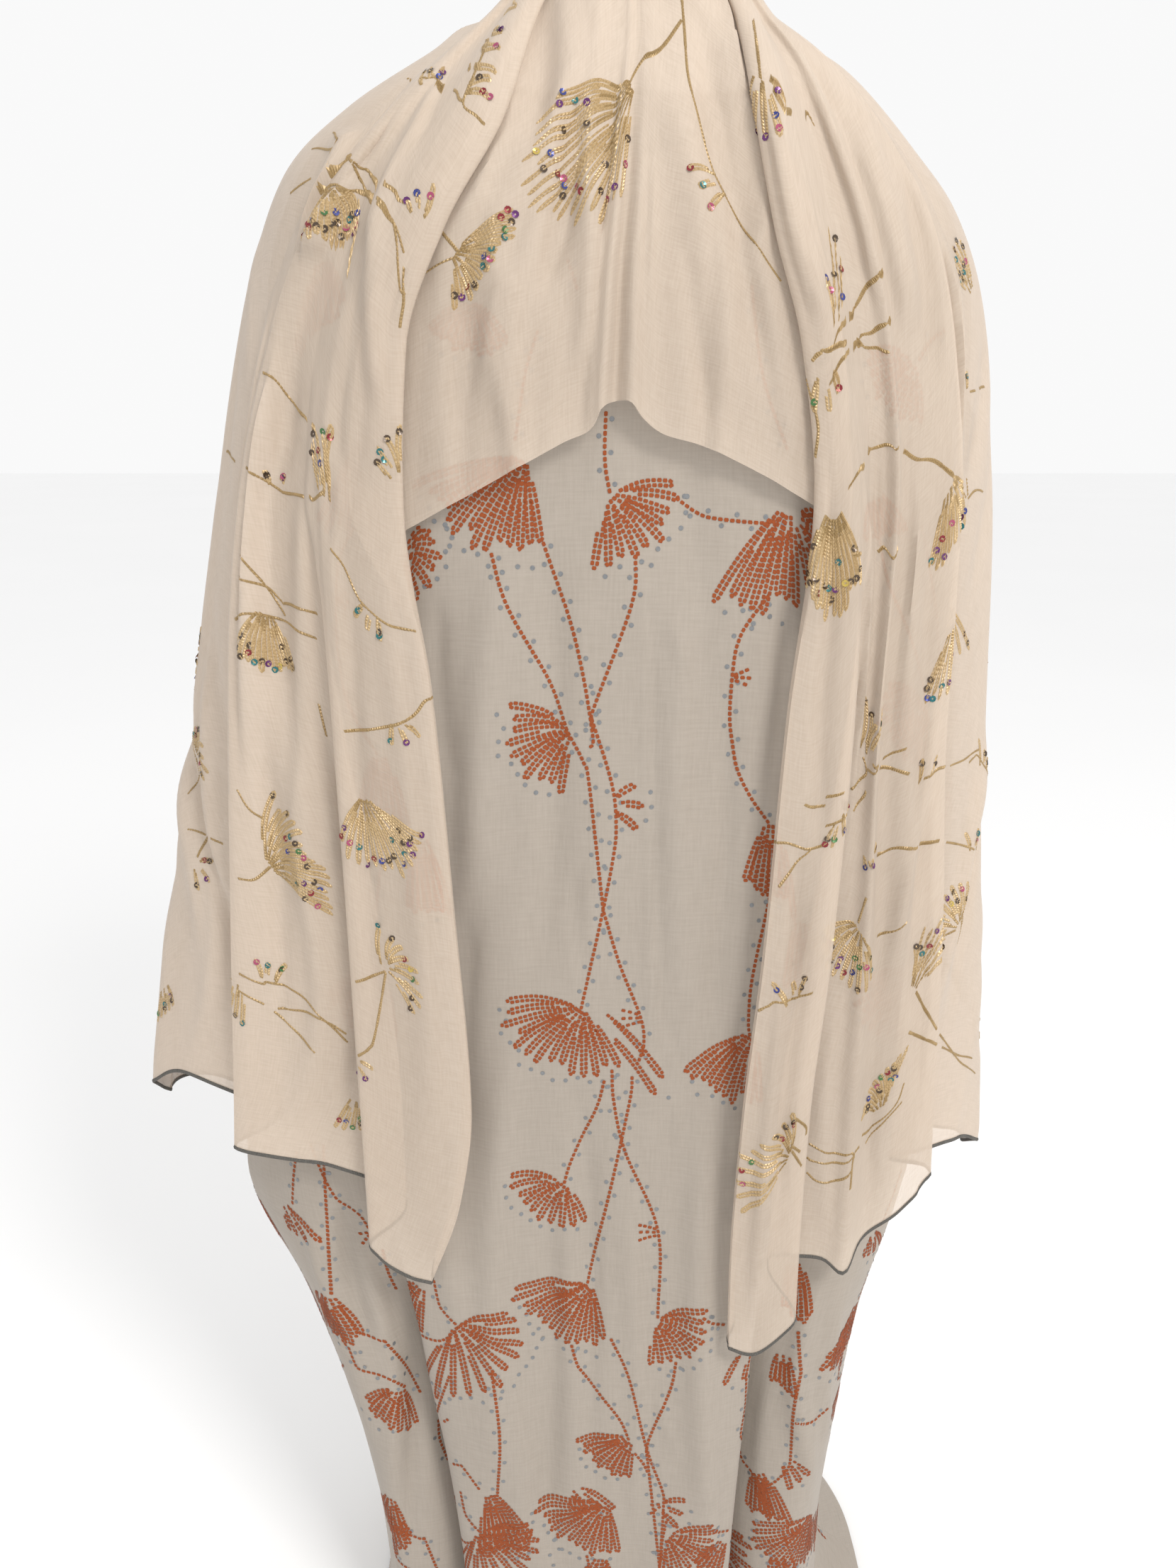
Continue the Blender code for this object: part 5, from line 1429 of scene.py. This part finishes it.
def add_embroidery(clothes, finishes):
    sequins = {colour: [] for colour in SEQUIN_COLOURS}
    for name in ("shawl_left", "shawl_right", "shawl_chest", "shawl_back"):
        cloth = clothes[name]
        flowers, stems = pattern_on(name)
        petals, lines = print_marks(
            flowers, stems, STITCH_PITCH, STITCH_PITCH, STITCHED_HALF_WIDTH, STITCH_SEED)
        near_base = petals[:, 4] > BASE_SHARE
        pale = dash_mesh(cloth, petals[~near_base], *STITCH, STITCH_LIFT, STITCH_CROWN)
        add_marks(name + "_petals", [pale], finishes["pale_gold_thread"])
        dark = [
            dash_mesh(cloth, petals[near_base], *STITCH, STITCH_LIFT, STITCH_CROWN),
            dash_mesh(cloth, lines, *STITCH, STITCH_LIFT, STITCH_CROWN),
        ]
        add_marks(name + "_stems", dark, finishes["dark_gold_thread"])
        drawn = np.random.default_rng(SEQUIN_SEED)
        dots = np.concatenate([tip_dots(flower, drawn) for flower in flowers])
        colour = drawn.choice(len(SEQUIN_COLOURS), size=len(dots), p=SEQUIN_SHARES)
        for index, key in enumerate(SEQUIN_COLOURS):
            if np.any(colour == index):
                picked = dots[colour == index]
                sequins[key].append(disc_mesh(
                    cloth, picked, SEQUIN_RADIUS, SEQUIN_HOLE, SEQUIN_LIFT, SEQUIN_TILT, drawn))
    for key, groups in sequins.items():
        add_marks("sequins_" + key, groups, finishes["sequin_" + key])


# Edges

def row_of_marks(u, up, ahead_u=1.0, ahead_up=0.0):
    """Marks at one height, each with its direction."""
    return np.stack(np.broadcast_arrays(u, up, ahead_u, ahead_up), axis=-1)


def edge_band(cloth, width, thickness, overhang):
    """A closed band that wraps the lower edge of a cloth."""
    edge = cloth.points[-1]
    down = unit(edge - cloth.points[-2])
    out = cloth.normal[-1]
    past, away = np.array(BAND_SECTION).T[:, :, None]
    past = past * np.where(past < 0.0, width, overhang)
    points = edge[:, None] + down[:, None] * past + out[:, None] * away * thickness / 2.0
    columns, size = points.shape[:2]
    index = np.arange(columns * size).reshape(columns, size)
    faces = closed_quads(index).tolist() + [index[0].tolist(), index[-1][::-1].tolist()]
    if cloth.facing > 0.0:
        faces = [face[::-1] for face in faces]
    return points.reshape(-1, 3), faces


def add_overlock(clothes, finish):
    """Dark overlock stitches round the two short ends of the shawl."""
    for name in OVERLOCKED:
        cloth = clothes[name]
        points, faces = edge_band(cloth, OVERLOCK_WIDTH, OVERLOCK_THICKNESS, OVERLOCK_OVERHANG)
        band = link_mesh(name + "_overlock", points, faces, [finish])
        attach(band, "root")
        width = cloth.u[-1, -1]
        u = np.arange(OVERLOCK_START, width, OVERLOCK_PITCH)
        lean = np.where(np.arange(len(u)) % 2 == 0, 1.0, -1.0) * OVERLOCK_LEAN
        marks = row_of_marks(u, OVERLOCK_WIDTH / 2.0, np.sin(lean), np.cos(lean))
        lift = OVERLOCK_THICKNESS / 2.0 - 2.0 * SUNK
        groups = [dash_mesh(cloth, marks, *OVERLOCK_STITCH, lift, STITCH_CROWN / 2.0)]
        add_marks(name + "_overlock_stitches", groups, finish)


def add_thread(clothes, finish):
    """The loose end of overlock thread at the left front corner."""
    cloth = clothes["shawl_left"]
    corner = cloth.points[-1, np.argmin(cloth.points[-1, :, 2])]
    run = corner + smooth_line(THREAD_RUN, THREAD_STEPS)
    add_tube("loose_thread", run, THREAD_RADIUS, finish)


def add_tube(name, line, radius, finish):
    ahead = unit(np.gradient(line, axis=0))
    side = unit(np.cross(ahead, TUBE_SIDEWAYS))
    points = line[:, None] + circles(side, np.cross(ahead, side), TUBE_SIDES) * radius
    index = np.arange(len(line) * TUBE_SIDES).reshape(len(line), TUBE_SIDES)
    quads = closed_quads(index)[:, ::-1]
    faces = [*quads.tolist(), index[0].tolist(), index[-1][::-1].tolist()]
    made = link_mesh(name, points.reshape(-1, 3), faces, [finish])
    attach(made, "root")


def add_hem_stitches(clothes, finish):
    """Machine stitches round the dress's hem, its neck binding and its cuffs."""
    groups = []
    for name in ("dress_front", "dress_back"):
        cloth = clothes[name]
        u = np.arange(cloth.u[-1, 0] + HEM_STITCH_START, cloth.u[-1, -1], HEM_STITCH_PITCH)
        marks = row_of_marks(u, HEM_DEPTH)
        groups.append(dash_mesh(cloth, marks, *HEM_STITCH, STITCH_LIFT, HEM_STITCH_CROWN))
    for name in ("neck_binding", "cuff_left", "cuff_right"):
        cloth = clothes[name]
        u = np.arange(BAND_STITCH_START, cloth.u[-1, -1] * BAND_STITCH_END, HEM_STITCH_PITCH)
        marks = row_of_marks(u, cloth.up[0].min() * BAND_STITCH_AT)
        groups.append(dash_mesh(cloth, marks, *HEM_STITCH, BAND_THICKNESS / 2.0 - SUNK, HEM_STITCH_CROWN))
    add_marks("seam_stitches", groups, finish)


# Finishes

def node(tree, kind, place, inputs, **settings):
    """A shader node with its settings and inputs."""
    made = tree.nodes.new("ShaderNode" + kind)
    made.location = place
    for key, value in settings.items():
        setattr(made, key, value)
    feed(tree, made, inputs)
    return made


def feed(tree, made, inputs):
    """Each input takes a number or colour, or is linked to another node's output."""
    for key, value in inputs.items():
        if isinstance(value, bpy.types.NodeSocket):
            tree.links.new(value, made.inputs[key])
        else:
            made.inputs[key].default_value = value


def new_material(name):
    material = bpy.data.materials.new(name)
    material.use_nodes = True
    return material, material.node_tree, material.node_tree.nodes["Principled BSDF"]


def thin_over_body(tree, over_body, beside):
    """Cloth that lets more through where it lies over the body than at the neck and beside the body."""
    place = node(tree, "TexCoord", (-1000, -400), {})
    parts = node(tree, "SeparateXYZ", (-800, -400), {"Vector": place.outputs["Object"]})
    aside = node(tree, "Math", (-600, -400), {0: parts.outputs["X"]}, operation="ABSOLUTE")
    ramps = [
        node(tree, "MapRange", (-400, height), {
            "Value": measured, "From Min": low, "From Max": high, "To Min": over_body, "To Max": beside,
        }, interpolation_type="SMOOTHSTEP")
        for height, measured, low, high in (
            (-400, aside.outputs["Value"], THIN_WITHIN, THICK_BEYOND),
            (-700, parts.outputs["Z"], THICK_ABOVE - THICK_FADE, THICK_ABOVE),
        )
    ]
    shares = {index: ramp.outputs["Result"] for index, ramp in enumerate(ramps)}
    return node(tree, "Math", (-200, -500), shares, operation="MAXIMUM").outputs["Value"]


def cloth_finish(name, colour, tint, weave_scale, weave_depth, roughness, sheen, thin=None):
    """A woven or crinkled cloth with slightly uneven yarns, measured in metres of cloth."""
    material, tree, shader = new_material(name)
    place = node(tree, "UVMap", (-1200, 0), {})
    long_scale = weave_scale * YARN_STRETCH
    yarns = {}
    for height, scale in ((200, (weave_scale, long_scale, 1.0)), (-100, (long_scale, weave_scale, 1.0))):
        scaled = node(tree, "Mapping", (-1000, height), {"Vector": place.outputs["UV"], "Scale": scale})
        noise = node(tree, "TexNoise", (-800, height), {
            "Vector": scaled.outputs["Vector"], "Scale": 1.0, "Detail": YARN_DETAIL,
        })
        yarns[len(yarns)] = noise.outputs["Fac"]
    both = node(tree, "Math", (-600, 50), yarns, operation="ADD").outputs["Value"]
    share = node(tree, "MapRange", (-420, 150), {
        "Value": both, "From Min": YARN_CONTRAST[0], "From Max": YARN_CONTRAST[1],
    })
    mixed = node(tree, "Mix", (-220, 200), {
        "Factor": share.outputs["Result"], "A": (*tint, 1.0), "B": (*colour, 1.0),
    }, data_type="RGBA")
    bump = node(tree, "Bump", (-220, -100), {
        "Strength": YARN_RELIEF, "Distance": weave_depth, "Height": both,
    })
    feed(tree, shader, {
        "Base Color": mixed.outputs["Result"], "Normal": bump.outputs["Normal"], "Roughness": roughness,
        "Sheen Weight": sheen, "Sheen Roughness": SHEEN_ROUGHNESS,
    })
    if thin:
        feed(tree, shader, {"Alpha": thin_over_body(tree, *thin)})
    return material


def small_finish(name, dark, light, scale, roughness, metallic=0.0):
    """Print, thread or metal with a little unevenness."""
    material, tree, shader = new_material(name)
    place = node(tree, "TexCoord", (-900, 0), {})
    noise = node(tree, "TexNoise", (-700, 0), {
        "Vector": place.outputs["Object"], "Scale": scale, "Detail": THREAD_DETAIL,
    })
    mixed = node(tree, "Mix", (-300, 0), {
        "Factor": noise.outputs["Fac"], "A": (*dark, 1.0), "B": (*light, 1.0),
    }, data_type="RGBA")
    feed(tree, shader, {
        "Base Color": mixed.outputs["Result"], "Roughness": roughness, "Metallic": metallic,
    })
    return material


def declare(piece, cloth, node_name):
    """The piece is attached to the root in place of its CAD node, which is hidden, and the cloth's width,
    length and area are measured.
    """
    width = float(np.max(cloth.u[:, -1] - cloth.u[:, 0]))
    length = float(np.max(cloth.up[0]))
    steps_across = np.diff(cloth.points, axis=1)[:-1]
    steps_down = np.diff(cloth.points, axis=0)[:, :-1]
    area = float(np.linalg.norm(np.cross(steps_across, steps_down), axis=-1).sum())
    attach(piece, "root")
    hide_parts(node_name)
    area = min(max(area, LEAST_AREA_SHARE * width * length), width * length)


# The pieces

def build_shawl():
    form = Form(SHAWL_RINGS, ROUNDNESS_SHAWL)
    left = Drape(form, -1.0, LEFT_LINES, in_metres(Station, LEFT_STATIONS))
    right = Drape(form, 1.0, RIGHT_LINES, in_metres(Station, RIGHT_STATIONS))

    def chest_span(levels):
        return -left.line_angle(0, levels), right.line_angle(0, levels)

    def chest_tuck(levels):
        shoulder = smoothstep(*CHEST_TUCK_RINGS, levels)
        return CHEST_TUCK_AT_NECK + (CHEST_TUCK - CHEST_TUCK_AT_NECK) * shoulder

    def back_span(levels):
        one = np.ones(len(levels))
        return -BACK_SEAM_ANGLE * one, (BACK_SEAM_ANGLE - 2.0 * math.pi) * one

    chest = Span(form, in_metres(Across, CHEST_STATIONS), chest_span, chest_tuck)
    back = Span(form, in_metres(Across, BACK_STATIONS), back_span)
    stretches = {
        "shawl_left": (left, -1.0),
        "shawl_right": (right, 1.0),
        "shawl_chest": (chest, 1.0),
        "shawl_back": (back, -1.0),
    }
    clothes = {}
    columns = {}
    for name, (stretch, facing) in stretches.items():
        rows, count = GRID_SIZES[name]
        columns[name] = shawl_columns(stretch, count)
        points = np.stack([column.grid(rows) for column in columns[name]], axis=1)
        zero = count // 2 if name in ("shawl_chest", "shawl_back") else 0
        clothes[name] = Cloth(points, facing, zero)

    loop = (
        columns["shawl_chest"] + columns["shawl_right"]
        + columns["shawl_back"][::-1][1:-1] + columns["shawl_left"][::-1]
    )
    levels = np.linspace(CAP_TOP_LEVEL, CAP_EDGE_RING, CAP_FINE_ROWS)
    cap = np.stack([column.points(levels) for column in loop], axis=1)
    crown = cap[:1].mean(axis=1, keepdims=True)
    cap = np.concatenate([crown + (cap[:1] - crown) * CROWN_SHARE, cap])
    clothes["shawl_neck"] = Cloth(cap, 1.0, wrapped=True)
    return clothes


def build_dress():
    form = Form(DRESS_RINGS, ROUNDNESS_DRESS)
    clothes = {}
    for name, folds, front in (("dress_front", FRONT_FOLDS, True), ("dress_back", REAR_FOLDS, False)):
        rows, columns = GRID_SIZES[name]
        points = Panel(form, in_metres(Fold, folds), front).grid(columns, rows)
        clothes[name] = Cloth(points, 1.0 if front else -1.0, columns // 2)
    turn = np.linspace(-math.pi, math.pi, BINDING_COLUMNS, endpoint=False)
    levels = np.linspace(0.0, NECK_EDGE_RING, BINDING_ROWS)
    points = np.stack([form.point(turn, np.full(len(turn), level)) for level in levels])
    clothes["neck_binding"] = Cloth(points, 1.0, wrapped=True)
    for side, name in ((-1.0, "cuff_left"), (1.0, "cuff_right")):
        clothes[name] = Cloth(cuff_points(form, side), side, wrapped=True)
    return clothes


def cuff_points(form, side):
    """The binding inside the rim of a sleeve opening, as a loop: down its front and up its back."""
    shares = np.linspace(-1.0, 1.0, CUFF_STEPS)[1:-1][::-1]
    rows = SLIT_HALF_HEIGHT * shares
    breadth = slit_half_width(SLIT_MIDDLE + rows)
    loops = []
    for step in np.linspace(0.0, 1.0, BINDING_ROWS):
        inset = BINDING_WIDTH * step
        tip = CUFF_TIP_OUTER + (CUFF_TIP_INNER - CUFF_TIP_OUTER) * step
        scale = 1.0 - step * CUFF_TIP_INNER / SLIT_HALF_HEIGHT
        end = SLIT_HALF_HEIGHT - tip
        narrowed = np.maximum(breadth - inset, 0.0)
        heights = SLIT_MIDDLE + np.concatenate([[end], rows * scale, [-end], rows[::-1] * scale])
        breadths = np.concatenate([[0.0], -narrowed, [0.0], narrowed[::-1]])
        levels = np.array([
            form.level_of_height(lambda at: np.full(len(at), math.pi / 2.0), NECK_EDGE_RING, height)
            for height in heights])
        reach = form.column("left" if side < 0.0 else "right", levels)
        loops.append(form.point(side * (math.pi / 2.0 + breadths / reach), levels))
    return np.stack(loops)


# The room, the light and the camera

def key_light():
    data = bpy.data.lights.new("key", "AREA")
    data.size = KEY_SIZE
    data.energy = KEY_POWER
    data.color = KEY_COLOUR
    light = bpy.data.objects.new("key", data)
    bpy.context.scene.collection.objects.link(light)
    light.location = KEY_PLACE
    light.rotation_euler = (Vector(KEY_AIM) - Vector(KEY_PLACE)).to_track_quat("-Z", "Y").to_euler()


def build_room():
    floor_z = -FLOOR_DROP - FLOOR_GAP
    ways = ((-1.0, -1.0), (1.0, -1.0), (1.0, 1.0), (-1.0, 1.0))
    corners = [(x * FLOOR_REACH, y * FLOOR_REACH, floor_z) for x, y in ways]
    finish = small_finish("studio_floor", *SMALL_FINISHES["studio_floor"])
    floor = link_mesh("studio_floor", corners, [(0, 1, 2, 3)], [finish], smooth=False)
    world = bpy.data.worlds.new("studio")
    world.use_nodes = True
    world.node_tree.nodes["Background"].inputs["Color"].default_value = (1.0, 1.0, 1.0, 1.0)
    world.node_tree.nodes["Background"].inputs["Strength"].default_value = WORLD_STRENGTH
    scene = bpy.context.scene
    scene.world = world
    scene.view_settings.view_transform = "Standard"
    key_light()
    data = bpy.data.cameras.new("camera")
    data.lens = CAMERA_LENS
    camera = bpy.data.objects.new("camera", data)
    camera.location = CAMERA_PLACE
    camera.rotation_euler = (math.radians(90.0 - CAMERA_DOWN), 0.0, 0.0)
    scene.collection.objects.link(camera)
    scene.camera = camera


def dress_and_drape(clothes):
    """Every cloth as a piece with its finishes, attached in place of its CAD node, then the pattern, the
    edges and the room.
    """
    cloth_finishes = {name: cloth_finish(name, *values) for name, values in CLOTH_FINISHES.items()}
    for name, cloth in clothes.items():
        slot, sides, thickness, held = WORN[name.split("_")[0]]
        piece = shell("worn_" + name, cloth, thickness, [cloth_finishes[side] for side in sides])
        declare(piece, cloth, name)
    finishes = {
        name: small_finish(name, *values)
        for name, values in SMALL_FINISHES.items() if name != "studio_floor"
    }
    for name, colour in SEQUIN_COLOURS.items():
        light = tuple(SEQUIN_LIGHTER * part for part in colour)
        finishes["sequin_" + name] = small_finish("sequin_" + name, colour, light, *SEQUIN_FINISH)
    add_print(clothes, finishes)
    add_embroidery(clothes, finishes)
    add_overlock(clothes, finishes["overlock_thread"])
    add_thread(clothes, finishes["overlock_thread"])
    add_hem_stitches(clothes, finishes["seam_thread"])
    build_room()


clothes = {**build_dress(), **build_shawl()}
crease_cloths(clothes)
dress_and_drape(clothes)
